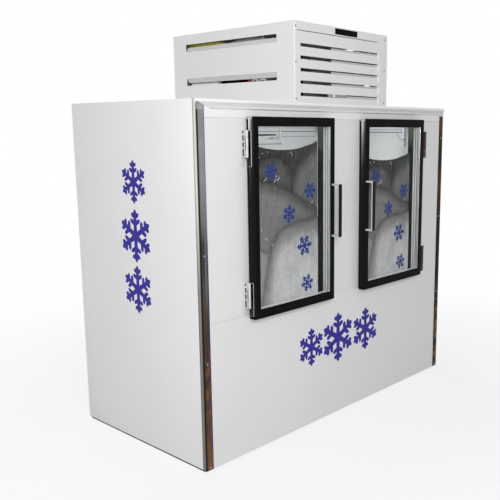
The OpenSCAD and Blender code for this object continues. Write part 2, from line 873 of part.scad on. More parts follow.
module interior_light() {
  y = inner_front + light_front;
  x = light_l / 2;
  base_z = ceiling_z - light_t;
  color("white") {
    block(-x, x, y - light_d / 2, y + light_d / 2, base_z, ceiling_z);
    for (s = [-1, 1]) translate([s * (x - holder_w / 2), y, base_z])
      block(-holder_w / 2, holder_w / 2, -holder_d / 2, holder_d / 2, -holder_h, 0);
    translate([-x + holder_w, y, base_z - holder_h * 0.6])
      rotate([0, 90, 0]) cylinder(r = tube_r, h = light_l - 2 * holder_w);
  }
}

module thermometer() {
  stem = sensor_stem / 2;
  plate = sensor_t / 2;
  color("silver") translate([inner_w - sensor_side, inner_front + sensor_front, ceiling_z - sensor_drop]) {
    block(-stem, stem, -stem, stem, 0, sensor_drop);
    block(-sensor_w / 2, sensor_w / 2, -plate, plate, -sensor_h, 0);
    translate([0, -plate, -loop_r]) rotate([90, 0, 0])
      rotate_extrude() translate([loop_r, loop_wire]) circle(r = loop_wire);
  }
}

module floor_grate() {
  half = inner_w - grate_margin;
  y0 = inner_front + grate_margin;
  y1 = inner_back - grate_margin;
  pitch = (2 * half - grate_bar_w) / (grate_bars - 1);
  color("lightgray") {
    for (i = [0 : grate_bars - 1])
      translate([-half + i * pitch, 0, floor_t + grate_t]) block(0, grate_bar_w, y0, y1, 0, grate_t);
    for (y = [y0 + grate_end, (y0 + y1) / 2, y1 - grate_end])
      block(-half, half, y - grate_bar_w / 2, y + grate_bar_w / 2, floor_t, floor_t + grate_t);
  }
}

// ---- Doors ----
module stile_profile(w) {
  difference() {
    union() {
      translate([edge_r, 0]) square([w - edge_r, door_t]);
      translate([0, edge_r]) square([edge_r, door_t - edge_r]);
      translate([edge_r, edge_r]) circle(r = edge_r);
    }
    translate([w - glass_bite, lip_t]) square([glass_bite + cut, door_t]);
  }
}

// A stile with its round edge at the left
module stile() { linear_extrude(height = door_h) stile_profile(stile_w); }

// A rail whose glass edge lies at its top, butted between the stiles with hairline joints
module rail(w) {
  block(joint, w - joint, 0, door_t, 0, rail_w - glass_bite);
  block(joint, w - joint, 0, lip_t, 0, rail_w);
  block(joint - glass_bite, w + glass_bite - joint, lip_t + joint, door_t, 0, rail_w - glass_bite);
}

module door_frame(x0) {
  color("black") {
    translate([x0, frame_front, door_z]) stile();
    translate([x0 + door_w, frame_front, door_z]) mirror([1, 0, 0]) stile();
    translate([x0 + stile_w, frame_front, door_z]) rail(glass_w);
    translate([x0 + stile_w, frame_front, door_top]) mirror([0, 0, 1]) rail(glass_w);
  }
}

module door_pane(x0, y) {
  block(x0 + stile_w - glass_bite, x0 + door_w - stile_w + glass_bite, y, y + pane_t,
        door_z + rail_w - glass_bite, door_top - rail_w + glass_bite);
}

module door_glass(x0) {
  color("lightblue", 0.35) {
    door_pane(x0, front_pane_y);
    door_pane(x0, rear_pane_y);
  }
}

// Bars that fill the depth y0 to y1 around the clear glass
module glass_edge(x0, bar_w, y0, y1) {
  bars(x0 + stile_w - glass_bite, x0 + door_w - stile_w + glass_bite, door_z + rail_w - glass_bite,
       door_top - rail_w + glass_bite, bar_w, bar_w, y0, y1);
}

module glass_spacer(x0) { color("silver") glass_edge(x0, spacer_w, spacer_y, rear_pane_y); }
module glazing_bead(x0) { color("white") glass_edge(x0, glass_bite, bead_y, frame_back); }

module door_gasket(x0) {
  inset = 4;
  color("dimgray")
    bars(x0 + inset, x0 + door_w - inset, door_z + inset, door_top - inset, gasket_w, gasket_w,
         frame_back, front_y);
}

module handle_shape() {
  r = handle_bend_r;
  difference() {
    union() {
      translate([r, 0]) square([handle_out - r, handle_h]);
      translate([0, r]) square([r, handle_h - 2 * r]);
      for (z = [r, handle_h - r]) translate([r, z]) circle(r = r);
    }
    translate([handle_bar_t, handle_leg_t]) square([handle_out, handle_h - 2 * handle_leg_t]);
  }
}

// The handle stands on the door face at the stile whose middle is x
module door_handle(x) {
  color("silver") translate([x - handle_w / 2, frame_front - handle_out, door_z + handle_up])
    rotate([90, 0, 90]) linear_extrude(height = handle_w) handle_shape();
}

module display_insert(x0, height) {
  w = glass_w - insert_margin;
  steps = 16;
  top = [for (i = [steps : -1 : 0]) let (u = i / steps)
         [u * w, height - insert_dip * sin(180 * u) + insert_rise * u * u]];
  color("lightsteelblue")
    translate([x0 + stile_w, bead_y + insert_t, door_z + rail_w])
      rotate([90, 0, 0]) linear_extrude(height = insert_t) polygon(concat([[0, 0], [w, 0]], top));
}

module left_door_frame() { door_frame(left_door_x); }
module left_door_glass() { door_glass(left_door_x); }
module left_glass_spacer() { glass_spacer(left_door_x); }
module left_glazing_bead() { glazing_bead(left_door_x); }
module left_door_gasket() { door_gasket(left_door_x); }
module left_door_handle() { door_handle(left_door_x + door_w - stile_w / 2); }
module left_hinge_straps() { color("silver") at_hinges(-1) hinge_strap(); }
module left_display_insert() { display_insert(left_door_x, insert_left_h); }

module right_door_frame() { door_frame(right_door_x); }
module right_door_glass() { door_glass(right_door_x); }
module right_glass_spacer() { glass_spacer(right_door_x); }
module right_glazing_bead() { glazing_bead(right_door_x); }
module right_door_gasket() { door_gasket(right_door_x); }
module right_door_handle() { door_handle(right_door_x + stile_w / 2); }
module right_hinge_straps() { color("silver") at_hinges(1) hinge_strap(); }
module right_display_insert() { display_insert(right_door_x, insert_right_h); }

base_plate();
left_side_panel();
right_side_panel();
back_panel();
top_panel();
front_lower_panel();
front_door_panel();
front_header_panel();
cabinet_insulation();
inner_liner();
door_jambs();
left_corner_trim();
right_corner_trim();
trim_rivets();
header_cap();
hinge_flanges();
hinge_pins();
panel_screws();
housing_left_panel();
housing_right_panel();
housing_back_panel();
housing_lid();
front_grille();
blank_plate();
machine_tray();
compressor();
compressor_feet();
condenser_coil();
fan_shroud();
condenser_motor();
condenser_fan();
control_box();
thermostat_knob();
power_inlet();
refrigerant_lines();
evaporator_cover();
evaporator_coil();
evaporator_motors();
evaporator_fan_left();
evaporator_fan_right();
interior_light();
thermometer();
floor_grate();
left_door_frame();
left_door_glass();
left_glass_spacer();
left_glazing_bead();
left_door_gasket();
left_door_handle();
left_hinge_straps();
left_display_insert();
right_door_frame();
right_door_glass();
right_glass_spacer();
right_glazing_bead();
right_door_gasket();
right_door_handle();
right_hinge_straps();
right_display_insert();
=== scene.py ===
import math
import bpy
import bmesh
from bmesh.types import BMEdge, BMVert
from mathutils import Matrix, Vector, noise


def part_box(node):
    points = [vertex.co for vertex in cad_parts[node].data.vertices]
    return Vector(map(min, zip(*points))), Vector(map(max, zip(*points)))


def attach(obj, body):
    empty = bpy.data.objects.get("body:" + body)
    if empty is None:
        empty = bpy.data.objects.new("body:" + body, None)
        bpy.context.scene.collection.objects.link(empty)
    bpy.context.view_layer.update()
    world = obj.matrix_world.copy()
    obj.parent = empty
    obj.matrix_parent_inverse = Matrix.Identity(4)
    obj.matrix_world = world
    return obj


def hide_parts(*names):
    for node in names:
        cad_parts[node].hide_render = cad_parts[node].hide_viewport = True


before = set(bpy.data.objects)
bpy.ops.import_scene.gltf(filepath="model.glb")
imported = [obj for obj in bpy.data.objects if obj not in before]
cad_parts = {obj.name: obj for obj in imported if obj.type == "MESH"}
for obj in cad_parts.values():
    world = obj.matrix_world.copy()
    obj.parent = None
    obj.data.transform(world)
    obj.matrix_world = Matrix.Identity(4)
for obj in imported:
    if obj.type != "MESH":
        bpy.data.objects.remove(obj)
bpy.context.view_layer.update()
print("freezer: frame loaded with", len(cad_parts), "solids")


# camera, lights and sky

camera = {"place": (-2.7423, -2.6788, 1.4625), "azimuth": 49.1441, "elevation": 9.9176,
          "lens": 50.36, "shift": (-0.14, 0.0059)}
studio = {"sky": 0.34, "aim": (0, 0, 0.95), "white": (1, 1, 1, 1),
          "lamps": {"key": ((-2.5, -3.3, 2.3), 1.2, 80), "side": ((-4.2, 0.6, 2.6), 2.2, 34),
                    "right": ((3.4, -2.6, 3.0), 2.4, 2), "back": ((1.2, 4.4, 3.2), 2.4, 60)},
          "room": {"place": (0, -0.32, 1.47), "aim": (0, 0.4, 1.36), "size": 1.4, "power": 4.8, "wide": 0.08},
          "floor": {"half": 30, "colour": (0.82, 0.82, 0.82, 1), "near": 1.1, "far": 3.0, "nearGlow": 0.78}}


def addObject(name, data):
    made = bpy.data.objects.new(name, data)
    bpy.context.collection.objects.link(made)
    return made


def addLamp(name, place, aim, size, power, wide=None):
    lamp = bpy.data.lights.new(name, "AREA")
    lamp.shape, lamp.size, lamp.size_y, lamp.energy = "RECTANGLE", size, wide or size, power
    holder = addObject(name, lamp)
    holder.location = place
    holder.rotation_euler = (Vector(aim) - Vector(place)).to_track_quat("-Z", "Y").to_euler()
    return holder


def feed(tree, socket, value):
    # gives a socket a fixed value, or the output of another node
    if isinstance(value, bpy.types.NodeSocket):
        tree.links.new(value, socket)
    else:
        socket.default_value = value


def addNode(tree, kind, inputs=(), **settings):
    made = tree.nodes.new("ShaderNode" + kind)
    for name, value in settings.items():
        setattr(made, name, value)
    for key, value in dict(inputs).items():
        feed(tree, made.inputs[key], value)
    return made


def seenRays(tree):
    # 1 for rays from the camera, from gloss and through glass
    rays = addNode(tree, "LightPath").outputs
    sharp = addNode(tree, "Math", {0: rays["Is Camera Ray"], 1: rays["Is Glossy Ray"]}, operation="MAXIMUM")
    both = addNode(tree, "Math", {0: sharp.outputs[0], 1: rays["Is Transmission Ray"]}, operation="MAXIMUM")
    return both.outputs[0]


cam = addObject("photoCamera", bpy.data.cameras.new("photoCamera"))
cam.location = camera["place"]
cam.rotation_euler = (math.radians(90 - camera["elevation"]), 0, -math.radians(camera["azimuth"]))
cam.data.lens = camera["lens"]
cam.data.shift_x, cam.data.shift_y = camera["shift"]
bpy.context.scene.camera = cam
bpy.context.scene.view_settings.view_transform = "Standard"

for lampName, (place, size, power) in studio["lamps"].items():
    addLamp(lampName + "Lamp", place, studio["aim"], size, power)
roomLamp = addLamp("roomLamp", **studio["room"])
roomLamp.visible_camera = roomLamp.visible_glossy = False

world = bpy.data.worlds.new("studio")
bpy.context.scene.world = world
world.use_nodes = True
sky = world.node_tree
sky.nodes.clear()
skyLight, skySeen = [addNode(sky, "Background", {"Color": studio["white"], "Strength": strength}).outputs[0]
                     for strength in (studio["sky"], 1)]
skyMix = addNode(sky, "MixShader", {0: seenRays(sky), 1: skyLight, 2: skySeen})
addNode(sky, "OutputWorld", {"Surface": skyMix.outputs[0]})


# materials

class Mixer:
    # one procedural material and the nodes that feed its shader

    def __init__(self, name, **sockets):
        self.material = bpy.data.materials.new(name)
        self.material.use_nodes = True
        self.tree = self.material.node_tree
        self.shader = self.tree.nodes["Principled BSDF"]
        self.place = addNode(self.tree, "TexCoord").outputs["Object"]
        for name, value in sockets.items():
            self.put(name.replace("_", " "), value)

    def put(self, name, value):
        feed(self.tree, self.shader.inputs[name], value)

    def grain(self, scale, detail=3, stretch=(1, 1, 1), kind="TexNoise"):
        # a noise in object coordinates, drawn out along an axis by a small stretch value
        turn = addNode(self.tree, "Mapping", {"Scale": stretch, "Vector": self.place})
        made = addNode(self.tree, kind, {"Scale": scale, "Vector": turn.outputs["Vector"]})
        if kind == "TexNoise":
            made.inputs["Detail"].default_value = detail
        return made.outputs[0]

    def cells(self, scale):
        return self.grain(scale, kind="TexVoronoi")

    def ramp(self, factor, *stops):
        made = addNode(self.tree, "ValToRGB", {0: factor})
        band = made.color_ramp
        while len(band.elements) < len(stops):
            band.elements.new(0.5)
        for spot, (position, colour) in zip(band.elements, stops):
            spot.position = position
            spot.color = (*colour, 1) if isinstance(colour, tuple) else (colour, colour, colour, 1)
        return made.outputs[0]

    def mottle(self, name, pattern, dark, light, low=0.3, high=0.7):
        self.put(name, self.ramp(pattern, (low, dark), (high, light)))

    def blend(self, factor, first, second, mode="MIX"):
        first, second = [(*c, 1) if isinstance(c, tuple) else c for c in (first, second)]
        mixed = addNode(self.tree, "Mix", {0: factor, 6: first, 7: second}, data_type="RGBA", blend_type=mode)
        return mixed.outputs[2]

    def times(self, first, second, share=1):
        return self.blend(share, first, second, "MULTIPLY")

    def along(self, axis, low, high):
        # 0 at the low end of the stretch and 1 at the high one
        place = addNode(self.tree, "SeparateXYZ", {0: self.place}).outputs[axis]
        return addNode(self.tree, "MapRange", {"Value": place, "From Min": low, "From Max": high}).outputs[0]

    def bump(self, height, strength, distance, **under):
        made = addNode(self.tree, "Bump", {"Height": height, "Strength": strength, "Distance": distance, **under})
        self.put("Normal", made.outputs[0])
        return made.outputs[0]


def paintMaterial(name, dark, light, roughness, coat, peel):
    # sprayed enamel: faint clouds in the colour, orange peel in the gloss
    paint = Mixer(name, Coat_Weight=coat, Coat_Roughness=0.12, Coat_IOR=1.5)
    paint.mottle("Base Color", paint.grain(1.7, 2), dark, light)
    paint.mottle("Roughness", paint.grain(60, 4), roughness - 0.04, roughness + 0.05)
    waves = paint.bump(paint.grain(5, 1), 0.05, 0.02)
    paint.bump(paint.grain(380, 2), peel, 0.0004, Normal=waves)
    return paint.material


def metalMaterial(name, dark, light, roughness, stretch=(1, 1, 0.1), scale=60, bump=0.04):
    # drawn or brushed metal, its lines along the axis with the small stretch
    metal = Mixer(name, Metallic=1)
    lines = metal.grain(scale, 5, stretch)
    metal.mottle("Base Color", lines, dark, light, 0.25, 0.75)
    metal.mottle("Roughness", lines, roughness * 0.7, roughness * 1.3, 0.2, 0.8)
    metal.bump(lines, bump, 0.0003)
    return metal.material


def plasticMaterial(name, colour, roughness, bumpScale=160, bump=0.05, specular=0.5):
    plastic = Mixer(name, Specular_IOR_Level=specular)
    plastic.mottle("Base Color", plastic.grain(12), colour, tuple(min(1, c * 1.12 + 0.002) for c in colour))
    plastic.mottle("Roughness", plastic.grain(45), roughness - 0.04, roughness + 0.06)
    plastic.bump(plastic.grain(bumpScale), bump, 0.0006)
    return plastic.material


# painted reflections of the corner trims and the door jambs, as colour stops from foot to top
strips = {
    "rise": (0, 1.6), "rust": (0.17, 0.075, 0.03), "cloud": (0.75, 0.75, 0.75), "trimTop": ((0.965, 0), (0.9665, 1)),
    "left_trim": {"name": "leftTrimSteel", "reflectionPatches": (0.8, 0.78, 0.74), "stops": [
        (0, (0.175, 0.085, 0.038)), (0.12, (0.11, 0.06, 0.034)), (0.3, (0.062, 0.045, 0.036)),
        (0.5, (0.088, 0.076, 0.064)), (0.625, (0.046, 0.052, 0.046)), (0.675, (0.17, 0.195, 0.18)),
        (0.8, (0.27, 0.315, 0.29)), (0.9645, (0.28, 0.315, 0.3)), (0.9665, (0.44, 0.445, 0.44)),
        (1, (0.36, 0.36, 0.36))],
        "edges": {"span": (-0.9315, -0.892), "dark": (0.03, 0.022, 0.02), "middle": (0.155, 0.2, 0.2),
                  "tint": (0.26, 0.17, 0.36), "foot": (0.085, 0.03, 0.15)}},
    "right_trim": {"name": "rightTrimSteel", "reflectionPatches": (0.5, 0.42, 0.36), "stops": [
        (0, (0.018, 0.013, 0.009)), (0.4, (0.011, 0.009, 0.006)), (0.6, (0.03, 0.014, 0.007)),
        (0.72, (0.085, 0.028, 0.01)),
        (0.8, (0.026, 0.013, 0.008)), (0.86, (0.038, 0.022, 0.009)), (0.97, (0.085, 0.052, 0.018))]},
    "polished_steel": {"name": "jambSteel", "reflectionPatches": (0.6, 0.6, 0.6), "stops": [
        (0.4, (0.024, 0.026, 0.029)), (0.8, (0.03, 0.034, 0.036)), (0.85, (0.045, 0.05, 0.046)),
        (0.865, (0.16, 0.18, 0.13)), (0.95, (0.24, 0.26, 0.2))]},
}


def stripMaterial(name, reflectionPatches, stops, edges=None):
    # a mirror-bright strip with its reflections painted into the colour: darker towards its foot, cloudy patches and
    # brown specks low down, tinted edges
    strip = Mixer(name, Metallic=1)
    rise = strip.along("Z", *strips["rise"])
    clouds = strip.grain(13, 6, (1.6, 1, 0.8))
    clouds = strip.ramp(clouds, (0.36, (1, 1, 1)), (0.5, reflectionPatches), (0.66, strips["cloud"]))
    colour = strip.times(strip.ramp(rise, *stops), clouds, 0.6)
    specks = strip.ramp(strip.grain(34, 4, (1.3, 1, 0.6)), (0.5, 0), (0.6, 1))
    low = strip.ramp(rise, (0, 1), (0.28, 1), (0.36, 0.15), (0.6, 0.1), (0.66, 0))
    colour = strip.blend(strip.times(specks, low), colour, strips["rust"])
    if edges:
        side = strip.along("X", *edges["span"])
        rim = strip.ramp(side, (0, 1), (0.1, 1), (0.2, 0))
        under = strip.ramp(rise, (0, 1), (0.965, 1), (0.9665, 0.25), (1, 0.25))
        colour = strip.blend(strip.times(rim, under), colour, edges["dark"])
        middle = strip.ramp(rise, (0, 0), (0.44, 0), (0.5, 0.75), (0.64, 0.75), (0.68, 0))
        band = strip.ramp(side, (0.54, 0), (0.62, 1), (0.76, 1), (0.8, 0))
        colour = strip.blend(strip.times(middle, band), colour, edges["middle"])
        tint = strip.ramp(rise, (0, edges["foot"]), (0.6, edges["foot"]), (0.68, edges["tint"]), (1, edges["tint"]))
        colour = strip.blend(strip.ramp(side, (0.8, 0), (0.89, 1), (1, 1)), colour, tint)
    strip.put("Base Color", colour)
    strip.mottle("Roughness", strip.grain(150, 4, (1, 1, 0.1)), 0.1, 0.17)
    strip.bump(strip.grain(3, 2), 0.08, 0.01)
    return strip.material


def flangeMaterial(name):
    # the narrow return of the left trim, its reflections painted into the colour: a pale line between two dark ones,
    # darker lower down, paler above the front's end
    steel = Mixer(name, Metallic=1)
    deep = steel.along("Y", -0.4665, -0.4415)
    rise = steel.along("Z", *strips["rise"])
    lines = steel.ramp(deep, (0, (0.05, 0.035, 0.028)), (0.18, (0.06, 0.045, 0.04)), (0.28, (0.74, 0.69, 0.69)),
                       (0.74, (0.7, 0.67, 0.67)), (0.84, (0.36, 0.33, 0.34)), (1, (0.32, 0.29, 0.3)))
    fall = steel.ramp(rise, (0, 0.22), (0.5, 0.36), (0.75, 1), (1, 1))
    above = steel.ramp(rise, (0, 0), *strips["trimTop"], (1, 1))
    front = steel.ramp(deep, (0, 1), (0.22, 1), (0.3, 0))
    corner = steel.ramp(rise, (0, (0.3, 0.27, 0.27)), (0.9835, (0.26, 0.2, 0.21)), (0.986, (0.76, 0.7, 0.71)))
    lines = steel.blend(steel.times(above, front), lines, corner)
    steel.put("Base Color", steel.times(lines, fall))
    steel.mottle("Roughness", steel.grain(120, 4, (1, 1, 0.1)), 0.12, 0.22)
    return steel.material


def sheenMaterial(name):
    # satin black bent edge of the doors: a painted highlight on its rear half near the top, fading downward
    satin = Mixer(name, Specular_IOR_Level=0.06)
    fall = satin.ramp(satin.along("Z", 0.638, 1.522), (0, 0.006), (0.6, 0.01), (0.73, 0.04), (0.85, 0.24),
                      (0.905, 0.45), (0.955, 0.85), (1, 0.95))
    across = satin.ramp(satin.along("Y", -0.509, -0.473), (0, 0.03), (0.2, 0.1), (0.34, 0.32), (0.52, 0.8),
                        (0.62, 1), (0.92, 1), (0.97, 0.35))
    spots = satin.ramp(satin.grain(60, 4, (1, 1, 0.2)), (0.3, 0.8), (0.7, 1))
    lit = satin.times(satin.times(fall, across), spots)
    satin.put("Base Color", satin.blend(1, lit, (0.005, 0.005, 0.006), "ADD"))
    satin.mottle("Roughness", satin.grain(90), 0.3, 0.42)
    satin.bump(satin.grain(260), 0.08, 0.0005)
    return satin.material


def handleMaterial(name):
    # painted reflection: bright sides that turn dark towards the outer face
    steel = Mixer(name, Specular_IOR_Level=0.3)
    tone = steel.ramp(steel.along("Y", -0.557, -0.545), (0, (0.012, 0.011, 0.015)), (0.3, (0.014, 0.013, 0.018)),
                      (0.42, (0.66, 0.67, 0.685)), (1, (0.7, 0.71, 0.72)))
    streaks = steel.ramp(steel.grain(60, 4, (1, 1, 0.1)), (0.3, 0.9), (0.7, 1))
    steel.put("Base Color", steel.times(tone, streaks))
    steel.mottle("Roughness", steel.grain(90), 0.22, 0.34)
    return steel.material


def glassMaterial(name):
    # clear pane: lets light through, keeps a faint cool tint and its gloss
    glass = Mixer(name, Base_Color=(0.07, 0.085, 0.085, 1), Roughness=0.03, IOR=1.5, Alpha=0.03)
    glass.bump(glass.grain(2.2, 1), 0.02, 0.01)
    return glass.material


def filmMaterial(name):
    # clear bags over crushed ice: painted light and shade from the piece's tone, cubes showing through, and bright
    # lines added as painted highlights on the folds
    film = Mixer(name, Coat_Weight=0.12, Coat_Roughness=0.18, Coat_IOR=1.45, Specular_IOR_Level=0.2)
    tone = film.ramp(addNode(film.tree, "Attribute", attribute_name="tone").outputs["Fac"],
                     (0, (0, 0, 0)), (1, (0.985, 1, 0.995)))
    cubes = film.cells(52)
    folds = film.grain(22, 6, (1.2, 1, 0.9))
    colour = film.times(tone, film.ramp(cubes, (0, 1), (0.5, 0.94), (1, 0.8)), 0.7)
    colour = film.times(colour, film.ramp(folds, (0.3, 0.84), (0.5, 0.98), (0.66, 1)), 0.85)
    lines = film.ramp(film.grain(13, 3, (2.3, 1, 0.7)), (0.455, 0), (0.49, 1), (0.525, 0))
    patches = film.ramp(film.grain(8, 2), (0.5, 0), (0.64, 1))
    film.put("Base Color", film.blend(0.07, colour, film.times(lines, patches), "ADD"))
    film.mottle("Roughness", folds, 0.26, 0.5, 0.35, 0.65)
    film.bump(folds, 0.35, 0.003, Normal=film.bump(cubes, 0.25, 0.003))
    return film.material


def foamMaterial(name):
    foam = Mixer(name, Roughness=0.9)
    foam.mottle("Base Color", foam.grain(70, 4), (0.62, 0.5, 0.26), (0.78, 0.66, 0.4))
    foam.bump(foam.cells(260), 0.4, 0.001)
    return foam.material


def finMaterial(name):
    # stacked fins seen from outside as fine upright lines
    metal = Mixer(name, Metallic=0.85)
    fins = addNode(metal.tree, "TexWave", {"Scale": 95.0, "Distortion": 0.3, "Vector": metal.place},
                   wave_type="BANDS", bands_direction="X").outputs[1]
    metal.mottle("Base Color", fins, (0.05, 0.05, 0.052), (0.42, 0.43, 0.44))
    metal.mottle("Roughness", metal.grain(40), 0.35, 0.5)
    metal.bump(fins, 0.6, 0.002)
    return metal.material


def spangleMaterial(name):
    zinc = Mixer(name, Metallic=0.9)
    zinc.mottle("Base Color", zinc.cells(55), (0.34, 0.35, 0.36), (0.56, 0.57, 0.58), 0, 1)
    zinc.mottle("Roughness", zinc.grain(30), 0.34, 0.48)
    zinc.bump(zinc.grain(120), 0.1, 0.0005)
    return zinc.material


def floorMaterial(name):
    look = studio["floor"]
    pale = Mixer(name, Base_Color=look["colour"], Roughness=0.8, Specular_IOR_Level=0.1)
    tree = pale.tree
    far = addNode(tree, "VectorMath", {0: pale.place}, operation="LENGTH")
    fade = addNode(tree, "MapRange", {"Value": far.outputs["Value"], "From Min": look["near"],
                                      "From Max": look["far"], "To Min": look["nearGlow"], "To Max": 1})
    share = addNode(tree, "Math", {0: seenRays(tree), 1: fade.outputs[0]}, operation="MULTIPLY")
    glow = addNode(tree, "Emission", {"Color": studio["white"], "Strength": 1})
    mix = addNode(tree, "MixShader", {0: share.outputs[0], 1: pale.shader.outputs[0], 2: glow.outputs[0]})
    feed(tree, tree.nodes["Material Output"].inputs["Surface"], mix.outputs[0])
    return pale.material


paints = {
    "white_paint": ((0.765, 0.77, 0.765), (0.8, 0.8, 0.795), 0.34, 0.22, 0.06),
    "housing_paint": ((0.765, 0.775, 0.765), (0.8, 0.805, 0.795), 0.42, 0.12, 0.08),
    "liner_white": ((0.74, 0.755, 0.76), (0.78, 0.79, 0.795), 0.3, 0.3, 0.05),
    # cap_band, header_paint and cap_slope are lighter and darker copies of the white paint: painted highlight and
    # painted shade on the header; cap_band is also the painted highlight of the louvre ends and a plain bright white on
    # small parts
    "cap_band": ((0.9, 0.9, 0.9), (0.95, 0.95, 0.95), 0.3, 0.4, 0.04),
    "header_paint": ((0.83, 0.83, 0.83), (0.87, 0.87, 0.87), 0.34, 0.2, 0.06),
    "cap_slope": ((0.66, 0.66, 0.66), (0.71, 0.71, 0.71), 0.34, 0.2, 0.06),
    "cooler_paint": ((0.3, 0.31, 0.31), (0.34, 0.35, 0.35), 0.4, 0.1, 0.06),
}
metals = {
    "chrome": ((0.7, 0.71, 0.72), (0.8, 0.81, 0.82), 0.12),
    "rivet_metal": ((0.3, 0.29, 0.28), (0.44, 0.43, 0.42), 0.3, (1, 1, 1)),
    "dark_chrome": ((0.007, 0.007, 0.01), (0.016, 0.014, 0.02), 0.14),
    "red_chrome": ((0.05, 0.016, 0.012), (0.11, 0.04, 0.026), 0.14),
    "dark_mirror": ((0.03, 0.025, 0.016), (0.095, 0.075, 0.045), 0.12, (1, 1, 0.2), 30),
    "leaf_red": ((0.026, 0.006, 0.006), (0.058, 0.014, 0.012), 0.2),
    "bright_aluminium": ((0.72, 0.75, 0.77), (0.86, 0.88, 0.9), 0.26, (1, 1, 0.02), 130, 0.1),
    "copper": ((0.5, 0.22, 0.12), (0.72, 0.36, 0.21), 0.28, (1, 1, 1), 40, 0.1),
}
plastics = {
    "satin_metal": ((0.66, 0.67, 0.685), 0.3, 200, 0.03, 0.7),
    "black_frame": ((0.003, 0.003, 0.0032), 0.45, 240, 0.08, 0.03),
    # stile_side is a slightly lighter copy of black_frame for the doors' outer sides: painted light
    "stile_side": ((0.006, 0.006, 0.009), 0.42, 240, 0.08, 0.05),
    "white_plastic": ((0.78, 0.79, 0.79), 0.4),
    "grey_plastic": ((0.44, 0.44, 0.46), 0.35),
    "violet_edge": ((0.03, 0.016, 0.045), 0.7, 300, 0.12, 0.05),
    "label_grey": ((0.3, 0.3, 0.31), 0.5, 160, 0.05, 0.3),
    "seam_filler": ((0.3, 0.3, 0.31), 0.6, 160, 0.05, 0.2),
    "gasket_rubber": ((0.82, 0.83, 0.835), 0.5, 300, 0.12),
    "gasket_edge": ((0.04, 0.03, 0.05), 0.6, 300, 0.12, 0.2),
    "line_grey": ((0.13, 0.14, 0.17), 0.5, 160, 0.05, 0.3),
    "plate_black": ((0.0022, 0.0022, 0.0024), 0.5, 240, 0.08, 0.02),
    "olive_sleeve": ((0.74, 0.62, 0.12), 0.55, 200, 0.2, 0.3),
    "red_wire": ((0.45, 0.03, 0.02), 0.45, 200),
    "foot_rubber": ((0.02, 0.02, 0.02), 0.7, 300, 0.2),
    "black_metal": ((0.006, 0.006, 0.0065), 0.45, 180, 0.1, 0.08),
    "dark_plastic": ((0.012, 0.012, 0.014), 0.45, 200, 0.1, 0.12),
    "violet_film": ((0.026, 0.018, 0.27), 0.45, 260, 0.05, 0.2),
    "blue_ink": ((0.012, 0.04, 0.25), 0.45, 260, 0.05, 0.15),
    "bright_film": ((0.72, 0.74, 0.75), 0.15, 260),
}


def camelName(key):
    first, *rest = key.split("_")
    return first + "".join(word.capitalize() for word in rest)


finish = {}
for make, looks in ((paintMaterial, paints), (metalMaterial, metals), (plasticMaterial, plastics)):
    for key, look in looks.items():
        finish[key] = make(camelName(key), *look)
for key in ("left_trim", "right_trim", "polished_steel"):
    finish[key] = stripMaterial(**strips[key])
for key, make in (("handle_steel", handleMaterial), ("galvanised_steel", spangleMaterial),
                  ("stile_sheen", sheenMaterial), ("clear_glass", glassMaterial), ("moulded_film", filmMaterial),
                  ("insulation_foam", foamMaterial), ("coil_metal", finMaterial)):
    finish[key] = make(camelName(key))
finish["trim_side"] = flangeMaterial("trimSideSteel")
print("freezer: materials ready")

floorMesh = bmesh.new()
bmesh.ops.create_grid(floorMesh, x_segments=1, y_segments=1, size=studio["floor"]["half"])
floorData = bpy.data.meshes.new("floor")
floorMesh.to_mesh(floorData)
floorMesh.free()
floor = addObject("floor", floorData)
floorData.materials.append(floorMaterial("paleFloor"))


# mesh helpers

tiny = 1e-6


def pick(items, kind):
    return [item for item in items if isinstance(item, kind)]


def onAxis(axis, length):
    made = Vector((0, 0, 0))
    made[axis] = length
    return made


def extrude(bm, faces, step):
    moved = pick(bmesh.ops.extrude_face_region(bm, geom=faces)["geom"], BMVert)
    bmesh.ops.translate(bm, vec=step, verts=moved)
    return moved


def cutOff(bm, place, normal, dist):
    # clears what lies on the normal's side of a plane; returns the edges of the cut
    cut = bmesh.ops.bisect_plane(bm, geom=bm.verts[:] + bm.edges[:] + bm.faces[:], dist=dist, plane_co=place,
                                 plane_no=normal, clear_outer=True)
    return pick(cut["geom_cut"], BMEdge)


def roundEdges(bm, verts, width, segments=2, chosen=None):
    edges = {edge for vert in verts if vert.is_valid for edge in vert.link_edges}
    sharp = [e for e in edges if e.is_manifold and e.calc_face_angle(0) > 0.5 and (chosen is None or chosen(e))]
    bmesh.ops.bevel(bm, geom=sharp, offset=width, offset_type="OFFSET", segments=segments, profile=0.5,
                    affect="EDGES", clamp_overlap=True, material=-1)


def addBox(bm, first, second):
    low, high = [Vector(spot) for spot in zip(*[sorted(pair) for pair in zip(first, second)])]
    shape = Matrix.Translation((high + low) / 2) @ Matrix.Diagonal((*(high - low), 1))
    return bmesh.ops.create_cube(bm, size=1, matrix=shape)["verts"]


def addRoundBox(bm, first, second, width, segments=2):
    roundEdges(bm, addBox(bm, first, second), width, segments)


def addSection(bm, outline, axis, start, end):
    # a flat outline across the axis, drawn out along it
    first, second = [a for a in range(3) if a != axis]
    verts = []
    for a, b in outline:
        spot = onAxis(axis, start)
        spot[first], spot[second] = a, b
        verts.append(bm.verts.new(spot))
    return verts + extrude(bm, [bm.faces.new(verts)], onAxis(axis, end - start))


def swing(angle):
    return math.cos(math.radians(angle)), math.sin(math.radians(angle))


def arc(middle, radius, start, end, steps=6):
    turns = [swing(start + (end - start) * i / steps) for i in range(steps + 1)]
    return [(middle[0] + radius * a, middle[1] + radius * b) for a, b in turns]


